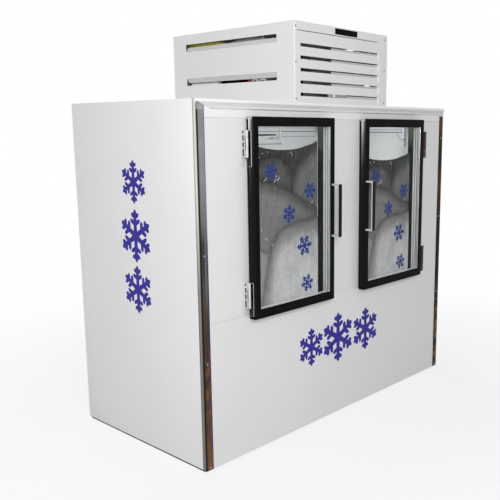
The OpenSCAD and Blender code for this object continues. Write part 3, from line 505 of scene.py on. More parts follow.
def addSheet(bm, axis, level, thickness, outline, holes):
    # a sheet across the axis, cut through at the holes; outline and holes are (low u, high u, low z, high z)
    across = 1 - axis
    u0, u1, z0, z1 = outline
    made = []
    for u, z in ((u0, z0), (u1, z0), (u1, z1), (u0, z1)):
        spot = Vector((0, 0, z))
        spot[axis], spot[across] = level, u
        made.append(bm.verts.new(spot))
    sheet = [bm.faces.new(made)]
    cuts = [(across, u) for hole in holes for u in hole[:2]] + [(2, z) for hole in holes for z in hole[2:]]
    for where, value in cuts:
        plane = onAxis(where, 1)
        pool = sheet + list({e for f in sheet for e in f.edges}) + list({v for f in sheet for v in f.verts})
        bmesh.ops.bisect_plane(bm, geom=pool, dist=tiny, plane_co=plane * value, plane_no=plane)
        sheet = [f for f in bm.faces if f.is_valid and all(abs(v.co[axis] - level) < tiny for v in f.verts)]
    gone = [f for f in sheet for hole in holes if hole[0] < f.calc_center_median()[across] < hole[1]
            and hole[2] < f.calc_center_median().z < hole[3]]
    bmesh.ops.delete(bm, geom=gone, context="FACES")
    extrude(bm, [f for f in sheet if f.is_valid], onAxis(axis, thickness))


def addRing(bm, low, high, section):
    # a mitred frame round an opening; section is a list of (inset, y), low and high are (x, z)
    def corners(inset):
        x0, z0, x1, z1 = low[0] + inset, low[1] + inset, high[0] - inset, high[1] - inset
        return [Vector((x, 0, z)) for x, z in ((x0, z0), (x1, z0), (x1, z1), (x0, z1))]

    spots = corners(section[0][0])
    ring = [bm.verts.new(spot + Vector((0, section[0][1], 0))) for spot in spots]
    edges = [bm.edges.new((ring[i - 1], ring[i])) for i in range(4)]
    for inset, y in section[1:] + section[:1]:
        grown = bmesh.ops.extrude_edge_only(bm, edges=edges)["geom"]
        target = corners(inset)
        for vert in pick(grown, BMVert):
            flat = Vector((vert.co.x, 0, vert.co.z))
            nearest = min(range(4), key=lambda i: (spots[i] - flat).length)
            vert.co = target[nearest] + Vector((0, y, 0))
        edges = pick(grown, BMEdge)
        spots = target


def addWire(bm, points, radius, sides=10, closed=False):
    points = [Vector(p) for p in points]
    count = len(points)

    def facing(i):
        if closed:
            ahead = points[(i + 1) % count] - points[i - 1]
        else:
            ahead = points[min(i + 1, count - 1)] - points[max(i - 1, 0)]
        return Matrix.Translation(points[i % count]) @ ahead.to_track_quat("Z", "Y").to_matrix().to_4x4()

    last = facing(0)
    ring = bmesh.ops.create_circle(bm, cap_ends=not closed, radius=radius, segments=sides, matrix=last)["verts"]
    edges = [e for e in {e for v in ring for e in v.link_edges} if len(e.link_faces) < 2]
    for i in range(1, count + (1 if closed else 0)):
        here = facing(i % count)
        grown = bmesh.ops.extrude_edge_only(bm, edges=edges)["geom"]
        bmesh.ops.transform(bm, matrix=here @ last.inverted(), verts=pick(grown, BMVert))
        edges = pick(grown, BMEdge)
        last = here
    if not closed:
        bmesh.ops.contextual_create(bm, geom=edges)


def addTurned(bm, profile, place, axis, steps=24):
    # a turned shape: profile is a list of (radius, distance along the axis) that starts and ends on the axis
    before = set(bm.verts)
    verts = [bm.verts.new((radius, 0, away)) for radius, away in profile]
    edges = [bm.edges.new(pair) for pair in zip(verts, verts[1:])]
    bmesh.ops.spin(bm, geom=verts + edges, cent=(0, 0, 0), axis=(0, 0, 1), dvec=(0, 0, 0), angle=math.tau,
                   steps=steps, use_merge=True, use_normal_flip=False, use_duplicate=False)
    turn = Matrix.Translation(place) @ Vector(axis).to_track_quat("Z", "Y").to_matrix().to_4x4()
    bmesh.ops.transform(bm, matrix=turn, verts=[v for v in bm.verts if v not in before])


def addDome(bm, place, axis, radius, height, steps=16):
    rise = [(radius * a, height * b) for a, b in map(swing, (0, 30, 60))]
    addTurned(bm, [(0, 0)] + rise + [(0, height)], place, axis, steps)


def colourFaces(bm, choose):
    # gives every face the number of its finish, from its normal and its middle
    bmesh.ops.recalc_face_normals(bm, faces=bm.faces)
    for face in bm.faces:
        face.material_index = int(choose(face, face.calc_center_median()))


def makePiece(name, bm, materials, slotName, *replaced, body="cabinet", smooth=32):
    bmesh.ops.remove_doubles(bm, verts=bm.verts, dist=2e-6)
    bmesh.ops.recalc_face_normals(bm, faces=bm.faces)
    data = bpy.data.meshes.new(name)
    bm.to_mesh(data)
    bm.free()
    for key in [materials] if isinstance(materials, str) else materials:
        data.materials.append(finish[key])
    data.shade_smooth()
    data.set_sharp_from_angle(angle=math.radians(smooth))
    piece = addObject(name, data)
    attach(piece, body)
    if replaced:
        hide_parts(*replaced)


# cabinet skins

skins = {"edge": 0.00084, "field": 0.03, "step": 0.006, "sink": 0.0018, "screwIn": 0.044, "rows": 7, "columns": 8,
         "screwRadius": 0.005, "screwHeight": 0.0016}


def evenly(low, high, inset, count):
    return [low + inset + (high - low - 2 * inset) * i / (count - 1) for i in range(count)]


for side in ("left", "right"):
    bm = bmesh.new()
    addRoundBox(bm, *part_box(side + "_side_panel"), skins["edge"])
    makePiece(side + "SideSkin", bm, "white_paint", "white_paint", side + "_side_panel")

low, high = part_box("back_panel")
bm = bmesh.new()
addBox(bm, low, high)
rear = [f for f in bm.faces if f.calc_center_median().y > high.y - 1e-5]
bmesh.ops.inset_region(bm, faces=rear, thickness=skins["field"], depth=0)
field = [f for f in rear if f.is_valid]
bmesh.ops.inset_region(bm, faces=field, thickness=skins["step"], depth=0)
bmesh.ops.translate(bm, vec=(0, -skins["sink"], 0), verts=list({v for f in field for v in f.verts}))
makePiece("backSkin", bm, "white_paint", "white_paint", "back_panel")

bm = bmesh.new()
rows = evenly(low.z, high.z, skins["screwIn"], skins["rows"])
columns = evenly(low.x, high.x, skins["screwIn"], skins["columns"])
spots = [(x, z) for x in columns for z in rows if x in (columns[0], columns[-1]) or z in (rows[0], rows[-1])]
for x, z in spots:
    addDome(bm, (x, high.y - skins["sink"] - 0.0001, z), (0, 1, 0), skins["screwRadius"], skins["screwHeight"], 12)
makePiece("backScrews", bm, "chrome", "chrome")
print("freezer: skins done")


# corner trims and their rivets, and the header cap: an upright band, then a lip with a slanted left end

trim = {"edge": 0.0005, "thick": 0.0015, "leftTop": 1.5765, "leftReturn": 0.025, "returnTop": 1.5892,
        "rivetRadius": 0.0042, "rivetHeight": 0.0019, "firstRivet": 0.0045, "rivets": 4}
cap = {"slantTop": (-0.9265, 1.5772), "slantFoot": (-0.856, 1.5485), "end": 0.93, "step": 0.0006,
       "lipRound": 0.0036, "bandRound": 0.004, "slopeEnd": 0.029}
slantX, slantZ = cap["slantTop"]
footX, footZ = cap["slantFoot"]
slantNormal = Vector((footZ - slantZ, 0, slantX - footX)).normalized()


def cutSlant(bm, keepUpper):
    # cuts off what lies below the cap's slanted end, or above it
    edges = cutOff(bm, (slantX, 0, slantZ), slantNormal if keepUpper else -slantNormal, 1e-7)
    bmesh.ops.contextual_create(bm, geom=edges)


for side in ("left", "right"):
    low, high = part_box(side + "_corner_trim")
    isLeft = side == "left"
    bm = bmesh.new()
    addRoundBox(bm, low, (high.x, low.y + trim["thick"], trim["leftTop"] if isLeft else high.z), trim["edge"])
    if isLeft:
        cutSlant(bm, False)
        addRoundBox(bm, low, (low.x + trim["thick"], low.y + trim["leftReturn"], trim["returnTop"]), trim["edge"])
    else:
        addRoundBox(bm, (high.x - trim["thick"], low.y, low.z), high, trim["edge"])
    # the fronts and the sides of the trims carry different painted reflections
    colourFaces(bm, lambda face, spot: abs(face.normal.x) > 0.7)
    makePiece(side + "CornerTrim", bm, [side + "_trim", "trim_side"], "polished_steel", side + "_corner_trim")

bm = bmesh.new()
low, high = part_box("trim_rivets")
for x in (low.x + trim["firstRivet"], high.x - trim["firstRivet"]):
    for z in evenly(low.z, high.z, trim["firstRivet"], trim["rivets"]):
        addDome(bm, (x, high.y, z), (0, -1, 0), trim["rivetRadius"], trim["rivetHeight"])
makePiece("trimRivets", bm, "rivet_metal", "chrome", "trim_rivets")

low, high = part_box("header_cap")
wall, top, front, end, bend, turn = high.y, high.z, low.y, cap["end"], cap["bandRound"], cap["lipRound"]
bm = bmesh.new()
lip = [(wall, slantZ), (front + 0.0008, slantZ), (wall - 0.0036, top - 0.025), (wall - 0.0016, top - 0.0278),
       (wall - 0.003, top - 0.03)]
lip += arc((wall - 0.004, footZ + 0.0064), turn, 105, 250, 7) + [(wall - 0.0022, footZ + 0.0006), (wall, footZ)]
addSection(bm, lip, 0, -end, end)
cutSlant(bm, True)
# the lip's downward slope gets the darker cap_slope, a painted shade; the band built next keeps the lighter cap_band, a
# painted highlight
colourFaces(bm, lambda face, spot: 1 + (face.normal.z < -0.25 and face.normal.y < 0 and spot.z > top - cap["slopeEnd"]))
band = [(wall, top)] + arc((front + bend, top - bend), bend, 90, 180, 5)
band += [(front, slantZ + cap["step"]), (front + cap["step"], slantZ), (wall, slantZ)]
addSection(bm, band, 0, -end, end)
makePiece("headerCap", bm, ["cap_band", "white_paint", "cap_slope"], "white_paint", "header_cap", smooth=40)


# fillers in the seams of the front, and the recessed base

seam = {"inset": 0.0005, "half": 0.0004, "depth": 0.0012, "reach": 0.889, "baseInset": 0.0025, "baseEdge": 0.0008}
bm = bmesh.new()
for name in ("front_lower_panel", "front_door_panel"):
    low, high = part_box(name)
    reach, half, y, z = seam["reach"], seam["half"], low.y + seam["inset"], high.z + 0.0005
    addRoundBox(bm, (-reach, y, z - half), (reach, y + seam["depth"], z + half), 0.0001, 1)
makePiece("seamFillers", bm, "seam_filler", "white_paint")

# the black base plate reaches out to just inside the side skins so it shows as a dark line under them: partly the base,
# partly painted shade of the gap
low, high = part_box("base_plate")
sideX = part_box("left_side_panel")[0].x
baseX = sideX + seam["baseInset"]
bm = bmesh.new()
addRoundBox(bm, (baseX, low.y, low.z), (-baseX, high.y, high.z), seam["baseEdge"])
makePiece("basePlate", bm, "black_metal", "black_metal", "base_plate")
print("freezer: trims and cap done")


# snowflakes in the places of the lettering

flakes = {"arm": 0.092, "twig": 0.08, "thickness": 0.0004, "notch": 2.3, "twigs": ((0.7, 0.2), (0.44, 0.27)),
          "side": [(-0.016, 1.238, 0.098), (-0.015, 0.995, 0.122), (-0.015, 0.748, 0.112)],
          "front": [(-0.247, 0.405, 0.098), (-0.04, 0.41, 0.132), (0.192, 0.406, 0.118)],
          "bags": [(0.107, 0.605, 0.041, 8), (0.366, 0.503, 0.043, 0), (0.22, 0.405, 0.044, 24),
                   (0.322, 0.246, 0.052, 4), (0.341, 0.062, 0.044, 12)]}


def flakeOutline(radius, turn=0):
    # one closed outline of six arms, each with two pairs of twigs
    arm, twig = flakes["arm"] * radius, flakes["twig"] * radius
    up, side = Vector((0.5, 0.866)), Vector((-0.866, 0.5))
    half = [Vector((radius, 0)), Vector((radius - arm, arm))]
    for reach, length in flakes["twigs"]:
        root, tip = Vector((reach * radius, 0)), length * radius
        half += [root - side * twig + up * ((arm + 0.5 * twig) / 0.866), root - side * twig + up * tip,
                 root + up * (tip + twig), root + side * twig + up * tip,
                 root + side * twig + up * ((arm - 0.5 * twig) / 0.866)]
    half.append(Vector((math.cos(math.radians(30)), 0.5)) * arm * flakes["notch"])
    lower = [Vector((p.x, -p.y)) for p in reversed(half[1:-1])]
    return [Matrix.Rotation(math.radians(60 * k + turn), 2) @ p for k in range(6) for p in lower + half]


def addFlake(bm, place, across, radius, turn=0, lift=flakes["thickness"]):
    # across is the flake's own sideways direction, its upright is Z
    across = Vector(across)
    verts = [bm.verts.new(Vector(place) + across * p.x + Vector((0, 0, p.y))) for p in flakeOutline(radius, turn)]
    extrude(bm, [bm.faces.new(verts)], across.cross(Vector((0, 0, 1))) * lift)
    bmesh.ops.triangulate(bm, faces=[f for f in bm.faces if len(f.verts) > 4])


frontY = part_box("front_lower_panel")[0].y
for where, across in (("side", (0, -1, 0)), ("front", (1, 0, 0))):
    bm = bmesh.new()
    for shift, z, radius in flakes[where]:
        addFlake(bm, (sideX, shift, z) if where == "side" else (shift, frontY, z), across, radius, 30)
    makePiece(where + "Snowflakes", bm, "violet_film", "white_paint")
print("freezer: snowflakes done")


# hinges

hinge = {"x": 0.681, "y": -0.487, "feet": (0.692, 1.351), "pinOff": 0.014, "pinOut": 0.022, "knuckle": 0.0058,
         "tall": 0.112, "fixed": 0.03, "gap": 0.0005, "tail": 0.04, "reach": 0.026, "flange": 0.003, "edge": 0.0012,
         "rib": 0.0112, "ribThick": 0.0014, "round": 0.0007, "pin": 0.0035, "headOut": 0.002,
         "head": [(0, 0), (0.0042, 0), (0.0053, 0.0008), (0.0053, 0.002), (0, 0.002)], "slotDeep": (0.0055, 0.0135),
         "slotProud": (0.001, 0.0022), "slots": [(0.0055, 0.03), (0.0425, 0.0205), (0.07, 0.0225), (0.101, 0.01)],
         "leaf": ((0.658, -0.5075), (0.69, -0.505)), "leaves": [(0.656, 0.805), (1.311, 1.35), (1.3505, 1.457)]}


def hingePlaces(*sides):
    return [(side, side * hinge["x"], hinge["y"], z) for side in sides for z in hinge["feet"]]


def isUpright(edge):
    return abs((edge.verts[0].co - edge.verts[1].co).z) < tiny


def isDarkKnuckle(spot):
    # the turned fronts of the right-hand knuckles get a dark reddish metal: a painted reflection of something dark
    return spot.x > 0 and spot.y < hinge["y"] - 0.0015 and abs(spot.x - hinge["x"]) < hinge["knuckle"] + 0.0001


bm = bmesh.new()
for side, x, y, z in hingePlaces(-1, 1):
    h, back, end, bend = hinge, y + hinge["pinOut"], z + hinge["tall"], hinge["knuckle"]
    addRoundBox(bm, (x + side * h["reach"], back - h["flange"], z - h["tail"]), (x - side * bend, back, end), h["edge"])
    # an upright rib beside the knuckles carries the slots
    near, far = x + side * h["rib"], x + side * (h["rib"] + h["ribThick"])
    addRoundBox(bm, (near, y + 0.001, z), (far, back - 0.001, end), 0.0005)
    for start in (0, h["tall"] - h["fixed"]):
        outline = [(x - bend, back)] + arc((x, y), bend, 180, 360, 14) + [(x + bend, back)]
        roundEdges(bm, addSection(bm, outline, 2, z + start, z + start + h["fixed"]), h["round"], 2, isUpright)
colourFaces(bm, lambda face, spot: isDarkKnuckle(spot))
makePiece("hingeFlanges", bm, ["satin_metal", "red_chrome"], "chrome", "hinge_flanges")

# the slots are dark violet boxes standing on the rib: painted shade for the openings
bm = bmesh.new()
for side, x, y, z in hingePlaces(-1, 1):
    near, far = [x + side * (hinge["rib"] + away) for away in hinge["slotProud"]]
    for low, tall in hinge["slots"]:
        y0, y1 = [y + deep for deep in hinge["slotDeep"]]
        addRoundBox(bm, (near, y0, z + low), (far, y1, z + low + tall), 0.0004, 1)
makePiece("hingeSlots", bm, "violet_edge", "dark_plastic")

bm = bmesh.new()
for side, x, y, z in hingePlaces(-1, 1):
    for start, up in ((z - hinge["headOut"], 1), (z + hinge["tall"] + hinge["headOut"], -1)):
        addTurned(bm, hinge["head"], (x, y, start), (0, 0, up))
    pinLow, pinHigh = hinge["gap"], hinge["tall"] - hinge["gap"]
    addTurned(bm, [(0, pinLow), (hinge["pin"], pinLow), (hinge["pin"], pinHigh), (0, pinHigh)], (x, y, z), (0, 0, 1))
makePiece("hingePins", bm, "chrome", "chrome", "hinge_pins")


# the two doors

door = {"edge": 0.01, "sheen": (0.004, 0.026), "stile": 0.034, "rail": 0.042, "lip": 0.004, "bite": 0.01,
        "capTall": 0.011, "capRound": 0.005, "capFront": 0.0045, "railEdge": 0.0012, "pane": 0.004, "gasket": 0.018,
        "handleBar": 0.012, "handleLeg": 0.009, "handleBend": 0.007, "handleInner": 0.004, "handleEdge": 0.0022,
        "strap": 0.011, "strapFront": 0.014, "strapBack": 0.012, "arm": 0.0115, "armHalf": 0.005}


def stileOutline(outer, inner, front, back):
    # seen from above: a round outer front corner, a step at the inner edge that holds the glass
    r, bite, lip = door["edge"], door["bite"], door["lip"]
    way = 1 if inner > outer else -1
    nose = [(outer + way * (r - r * a), front + r - r * b) for a, b in map(swing, range(0, 91, 10))]
    return [(outer, back), (outer, front + door["sheen"][1])] + nose + [
        (inner, front), (inner, front + lip), (inner - way * bite, front + lip), (inner - way * bite, back)]


def buildDoor(side):
    body = side + "_door"
    way = 1 if side == "left" else -1

    def box(node):
        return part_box(side + "_" + node)

    def doorPiece(name, bm, materials, slotName, *replaced, smooth=32):
        nodes = [side + "_" + node for node in replaced]
        makePiece(side + name, bm, materials, slotName, *nodes, body=body, smooth=smooth)

    low, high = box("door_frame")
    front, back = low.y, high.y
    stile, rail, bite, lip = [door[key] for key in ("stile", "rail", "bite", "lip")]
    tall, bevel = door["capTall"], door["railEdge"]
    stiles = [stileOutline(outer, inner, front, back) for outer, inner in
              ((low.x, low.x + stile), (high.x, high.x - stile))]

    def frameFinish(face, spot):
        # painted light: side faces between 4 and 26 mm behind the front get the painted highlight of stile_sheen, the
        # other side faces a slightly lighter copy of the black
        if abs(face.normal.z) < 0.2 and abs(face.normal.x) > 0.2 and face.normal.y < 0.1:
            return 2 if door["sheen"][0] < spot.y - front < door["sheen"][1] else 1
        return 0

    bm = bmesh.new()
    for outline in stiles:
        addSection(bm, outline, 2, low.z + tall, high.z - tall)
    railOutline = [(front, 0), (back, 0), (back, rail - bite), (front + lip, rail - bite), (front + lip, rail),
                   (front + bevel, rail), (front, rail - bevel)]
    for level, up in ((low.z, 1), (high.z, -1)):
        addSection(bm, [(y, level + up * z) for y, z in railOutline], 0, low.x + stile, high.x - stile)
    colourFaces(bm, frameFinish)
    doorPiece("DoorFrame", bm, ["black_frame", "stile_side", "stile_sheen"], "black_frame", "door_frame", smooth=28)

    for where, key, start, end in (("Top", "grey_plastic", high.z - tall, high.z),
                                   ("Foot", "black_frame", low.z + tall, low.z)):
        bm = bmesh.new()
        for outline in stiles:
            made = addSection(bm, outline, 2, start, end)
            roundEdges(bm, made, door["capRound"], 5, lambda e: all(abs(v.co.z - end) < tiny for v in e.verts))
        colourFaces(bm, lambda face, spot: spot.y < front + door["capFront"] or where == "Foot")
        doorPiece("Stile" + where + "Caps", bm, [key, "black_frame"], "black_frame")

    # glazing: panes, spacer bars, bead and gasket
    glassLow, glassHigh = box("door_glass")
    bm = bmesh.new()
    for y in (glassLow.y, glassHigh.y - door["pane"]):
        addRoundBox(bm, (glassLow.x, y, glassLow.z), (glassHigh.x, y + door["pane"], glassHigh.z), 0.0005, 1)
    doorPiece("DoorPanes", bm, "clear_glass", "clear_glass", "door_glass")

    outerLow, outerHigh = (glassLow.x, glassLow.z), (glassHigh.x, glassHigh.z)
    low, high = box("glass_spacer")
    bm = bmesh.new()
    addRing(bm, outerLow, outerHigh, [(0, low.y), (0.0072, low.y), (0.008, low.y + 0.001), (0.008, low.y + 0.006),
            (0.0066, low.y + 0.007), (0.0066, high.y - 0.007), (0.008, high.y - 0.006), (0.008, high.y - 0.001),
            (0.0072, high.y), (0, high.y)])
    doorPiece("GlassSpacer", bm, "bright_aluminium", "bright_aluminium", "glass_spacer", smooth=25)

    low, high = box("glazing_bead")
    bm = bmesh.new()
    addRing(bm, outerLow, outerHigh, [(0, low.y), (0.009, low.y), (0.01, low.y + 0.0012), (0.01, low.y + 0.0035),
            (0.0082, low.y + 0.0045), (0.0082, high.y - 0.0006), (0.0074, high.y), (0, high.y)])
    doorPiece("GlazingBead", bm, "white_plastic", "white_plastic", "glazing_bead", smooth=25)

    low, high = box("door_gasket")
    wide = door["gasket"]
    bm = bmesh.new()
    addRing(bm, (low.x, low.z), (high.x, high.z), [(0, low.y), (wide, low.y), (wide, low.y + 0.0022),
            (wide - 0.0025, low.y + 0.0036), (wide - 0.0008, high.y - 0.002), (wide - 0.002, high.y),
            (0.003, high.y), (0.0008, high.y - 0.002), (0.0032, low.y + 0.0036), (0, low.y + 0.0022)])
    # the outer half of the gasket is dark: painted shade of the gap between frame and cabinet
    colourFaces(bm, lambda face, spot: min(*(spot - low).xz, *(high - spot).xz) < wide / 2)
    doorPiece("DoorGasket", bm, ["gasket_rubber", "gasket_edge"], "gasket_rubber", "door_gasket", smooth=25)

    # D handle: bright returns and sides and a dark polished outer face, reflections painted into their colour
    low, high = box("door_handle")
    bar, leg, bend, inner = [door[key] for key in ("handleBar", "handleLeg", "handleBend", "handleInner")]
    outline = [(high.y, low.z)] + arc((low.y + bend, low.z + bend), bend, 270, 180)
    outline += arc((low.y + bend, high.z - bend), bend, 180, 90) + [(high.y, high.z), (high.y, high.z - leg)]
    outline += arc((low.y + bar + inner, high.z - leg - inner), inner, 90, 180, 4)
    outline += arc((low.y + bar + inner, low.z + leg + inner), inner, 180, 270, 4) + [(high.y, low.z + leg)]
    bm = bmesh.new()
    made = addSection(bm, outline, 0, low.x, high.x)
    roundEdges(bm, made, door["handleEdge"], 3, lambda e: abs(e.verts[0].co.x - e.verts[1].co.x) < tiny)
    colourFaces(bm, lambda face, spot: face.normal.y < -0.2 and spot.y < low.y + 0.004)
    doorPiece("DoorHandle", bm, ["handle_steel", "dark_chrome"], "chrome", "door_handle", smooth=30)

    # hinge straps along the outer stile, one moving knuckle each
    bm = bmesh.new()
    for _, x, y, z in hingePlaces(-way):
        h = hinge
        start, end = z + h["fixed"] + h["gap"], z + h["tall"] - h["fixed"] - h["gap"]
        ring = [(x + h["knuckle"] * a, y + h["knuckle"] * b) for a, b in map(swing, range(0, 360, 12))]
        roundEdges(bm, addSection(bm, ring, 2, start, end), h["round"], 2, isUpright)
        addRoundBox(bm, (x + way * door["strap"], y - door["strapFront"], z - h["tail"]),
                    (x + way * h["pinOff"], y + door["strapBack"], z + h["tall"]), 0.0008)
        addRoundBox(bm, (x, y - door["armHalf"], start), (x + way * door["arm"], y + door["armHalf"], end), 0.0008)

    # painted reflection: outward-facing strap sides, the fronts of the lower straps and the fronts beside the knuckle
    # get the dark mirror colour; the right-hand knuckle fronts the dark red one
    def strapFinish(face, spot):
        away = (spot.x - x) * way
        if abs(away) > 0.0106 and face.calc_area() > 0.0001:
            if face.normal.x * way < -0.9 or (face.normal.y < -0.9 and spot.z < 1):
                return 2
        if 0.0035 < away < 0.0115 and face.normal.y < -0.3 and spot.y > y - 0.0062:
            return 2
        return isDarkKnuckle(spot)

    colourFaces(bm, strapFinish)
    doorPiece("HingeStraps", bm, ["satin_metal", "red_chrome", "dark_mirror"], "chrome", "hinge_straps")
    if side == "right":
        # a narrow leaf of each right-hand hinge stands out beside the stile
        near, far = hinge["leaf"]
        bm = bmesh.new()
        for start, end in hinge["leaves"]:
            addRoundBox(bm, (*near, start), (*far, end), 0.0006)
        # painted reflection: the leaves change colour with height, dark chrome on the lower hinge, dark mirror and then
        # dark red on the upper
        colourFaces(bm, lambda face, spot: 2 if spot.z < 1 else spot.z < hinge["feet"][1])
        doorPiece("HingeLeaves", bm, ["leaf_red", "dark_mirror", "dark_chrome"], "chrome")


for side in ("left", "right"):
    buildDoor(side)
print("freezer: doors done")


# bagged ice behind the glass: edges are (u, v) from the insert's lower left corner

bags = {
    "columns": 132, "rows": 228, "base": 0.0142, "most": 0.0121, "skinBehind": 0.0006, "rise": 0.016, "tall": 0.718,
    "topEdge": [(0, 0.724), (0.033, 0.715), (0.075, 0.7065), (0.117, 0.701), (0.15, 0.698), (0.186, 0.6965),
                (0.225, 0.697), (0.255, 0.6985), (0.293, 0.7015), (0.329, 0.7095), (0.356, 0.7155), (0.39, 0.722),
                (0.419, 0.733)],
    "archEdge": [(0, 0.618), (0.033, 0.641), (0.05, 0.653), (0.077, 0.662), (0.117, 0.669), (0.161, 0.664),
                 (0.195, 0.651), (0.227, 0.626), (0.248, 0.587), (0.256, 0.552)],
    "rightTop": [(0, 0.25), (0.246, 0.47), (0.251, 0.507), (0.255, 0.564), (0.263, 0.625), (0.27, 0.675),
                 (0.274, 0.74), (0.419, 0.78)],
    "shade": [(0, 0.44), (0.274, 0.608), (0.33, 0.645), (0.367, 0.671), (0.419, 0.712)],
    "middleEdge": [(0, 0.574), (0.049, 0.565), (0.115, 0.547), (0.183, 0.524), (0.24, 0.503), (0.283, 0.485),
                   (0.329, 0.461), (0.389, 0.435), (0.419, 0.421)],
    "middleFoot": [(0, 0.268), (0.043, 0.254), (0.077, 0.239), (0.101, 0.229), (0.13, 0.19), (0.419, 0)],
    "lowerTop": [(0, -0.5), (0.036, -0.1), (0.044, 0.026), (0.054, 0.077), (0.07, 0.145), (0.083, 0.196),
                 (0.096, 0.236), (0.108, 0.27), (0.121, 0.288), (0.137, 0.308), (0.156, 0.327), (0.192, 0.345),
                 (0.239, 0.358), (0.285, 0.366), (0.361, 0.366), (0.419, 0.38)],
    "levels": {"top": (0.0008, 0.001, 0.03), "upperLeft": (0.0022, 0.0044, 0.055), "right": (0.0034, 0.0046, 0.065),
               "middle": (0.0048, 0.0046, 0.07), "foot": (0.0036, 0.0044, 0.05), "lower": (0.0064, 0.0052, 0.08)},
    "gathers": {"top": (0.2, 0.95, 7, 0.4), "upperLeft": (0.15, 0.76, 6, 0.14), "right": (0.47, 0.86, 9, 0.22),
                "middle": (0.18, 0.9, 12, 0.3), "foot": (0.08, 0.5, 5, 0.2), "lower": (0.352, 0.35, 3.4, 0.13)},
    "footEnd": 0.12, "rightStart": 0.246, "crease": 0.004, "calm": 0.012,
    "flakeLift": 0.0007, "flakeThick": 0.0003, "glintLift": 0.0002, "glintDeep": 0.0006, "glintWide": 0.0018,
    "glints": [(0.07, 0.566, 0.009, 160), (0.08, 0.573, 0.006, 110), (0.133, 0.562, 0.012, 122),
               (0.14, 0.581, 0.009, 170), (0.157, 0.571, 0.011, 118), (0.148, 0.564, 0.006, 118),
               (0.068, 0.306, 0.008, 20), (0.077, 0.3, 0.007, 70), (0.042, 0.347, 0.008, 85),
               (0.383, 0.446, 0.008, 115), (0.243, 0.683, 0.006, 15), (0.251, 0.672, 0.005, 130),
               (0.061, 0.684, 0.003, 60), (0.094, 0.689, 0.003, 100), (0.04, 0.667, 0.004, 75),
               (0.112, 0.273, 0.004, 60)],
}


def edgeAt(name, u):
    # height of an edge at u, and how level the edge is there
    points = bags[name]
    for (u0, v0), (u1, v1) in zip(points, points[1:]):
        if u <= u1:
            slope = (v1 - v0) / (u1 - u0)
            return v0 + slope * (u - u0), 1 / math.sqrt(1 + slope * slope)
    return points[-1][1], 1


def whichBag(u, v):
    # the bag at a place on the stack, and the way from there to its nearest edge
    arch, right, middle, foot, lower = [(v - height) * level for height, level in [
        edgeAt(name, u) for name in ("archEdge", "rightTop", "middleEdge", "middleFoot", "lowerTop")]]
    if lower < 0:
        return "lower", -lower
    if foot < 0 and u < bags["footEnd"]:
        return "foot", min(-foot, lower)
    if middle < 0:
        return "middle", min([-middle, lower] + ([foot] if u < bags["footEnd"] else []))
    if right < 0 and u > bags["rightStart"]:
        return "right", min(-right, middle)
    if arch < 0:
        return "upperLeft", min(-arch, middle, right)
    return "top", min(abs(arch), abs(right))


def noiseAt(a, b, c):
    return noise.noise(Vector((a, b, c)))


def foldAt(name, u, v):
    # creases that run out from the place where each bag is gathered, and how much of them is left here
    gatherU, gatherV, count, fade = bags["gathers"][name]
    away = Vector((u - gatherU, v - gatherV))
    turn = math.atan2(away.y, away.x)
    crease = noiseAt(turn * count, away.length * 6, 3.1) + 0.4 * noiseAt(turn * count * 2.3, away.length * 9, 8.2)
    return crease, math.exp(-away.length / fade)


def bagRelief(u, v):
    name, gap = whichBag(u, v)
    start, swell, width = bags["levels"][name]
    share = max(0, min(1, gap / width))
    height = start + swell * math.sqrt(1 - (1 - share) ** 2)
    crease, left = foldAt(name, u, v)
    lumps = noiseAt(u * 62, v * 62, 1.7) * 0.0006
    fine = (0.3 - abs(noiseAt(u * 70, v * 60, 7.7))) * 0.0006
    calm = min(1, gap / bags["calm"])
    return max(0, min(height + ((0.3 - abs(crease)) * bags["crease"] * left + lumps + fine) * calm, bags["most"]))


def between(first, last, share):
    return first + (last - first) * max(0, min(1, share))


def iceGreyAndPaintedLight(u, v):
    # the ice's grey with painted light and shade: brighter towards the floor and on each bag's crown, painted shade in
    # the valleys, a painted shadow above the edge of the bag in front, lighter and darker along the folds
    name, gap = whichBag(u, v)
    if name == "lower":
        tone = between(0.27, 0.66, gap / 0.1) * between(0.66, 1, (0.37 - v) / 0.15)
        tone += between(0, 0.14, (0.22 - v) / 0.22)
        tone *= between(1, 0.8, (0.15 - u) / 0.08)
    elif name == "foot":
        tone = between(0.34, 0.54, (0.25 - v) / 0.25)
    elif name == "middle":
        under = edgeAt("middleEdge", u)[0] - v
        tone = between(0.105, 0.15, under / 0.04) + between(0, 0.105, (under - 0.03) / 0.035)
        tone *= between(1, 0.74, (u - 0.2) / 0.14)
    elif name == "right":
        tone = between(0.03, 0.18, (edgeAt("shade", u)[0] - v + 0.015) / 0.075)
        tone *= between(1, 0.62, (0.3 - u) / 0.04)
    elif name == "upperLeft":
        tone = between(0.045, 0.108, gap / 0.045) + between(0, 0.03, (0.58 - v) / 0.08)
        tone *= between(1, 0.55, (u - 0.17) / 0.08)
    else:
        tone = 0.02 + between(0, 0.02, (0.06 - u) / 0.06)
    # painted shade in the valleys and painted shadow just above the edge of the bag in front
    valley = math.exp(-gap / 0.009) * 0.4
    behind = 0
    if name in ("upperLeft", "right", "middle"):
        height, level = edgeAt("lowerTop" if name == "middle" else "middleEdge", u)
        behind = math.exp(-max(0, (v - height) * level) / 0.022) * 0.2
    crease, left = foldAt(name, u, v)
    dapple = 0.07 * noiseAt(u * 14, v * 14, 5.3) + 0.09 * noiseAt(u * 44, v * 40, 9.9)
    return max(0, tone * (1 - valley) * (1 - behind) * (1 + dapple + 0.55 * crease * left))


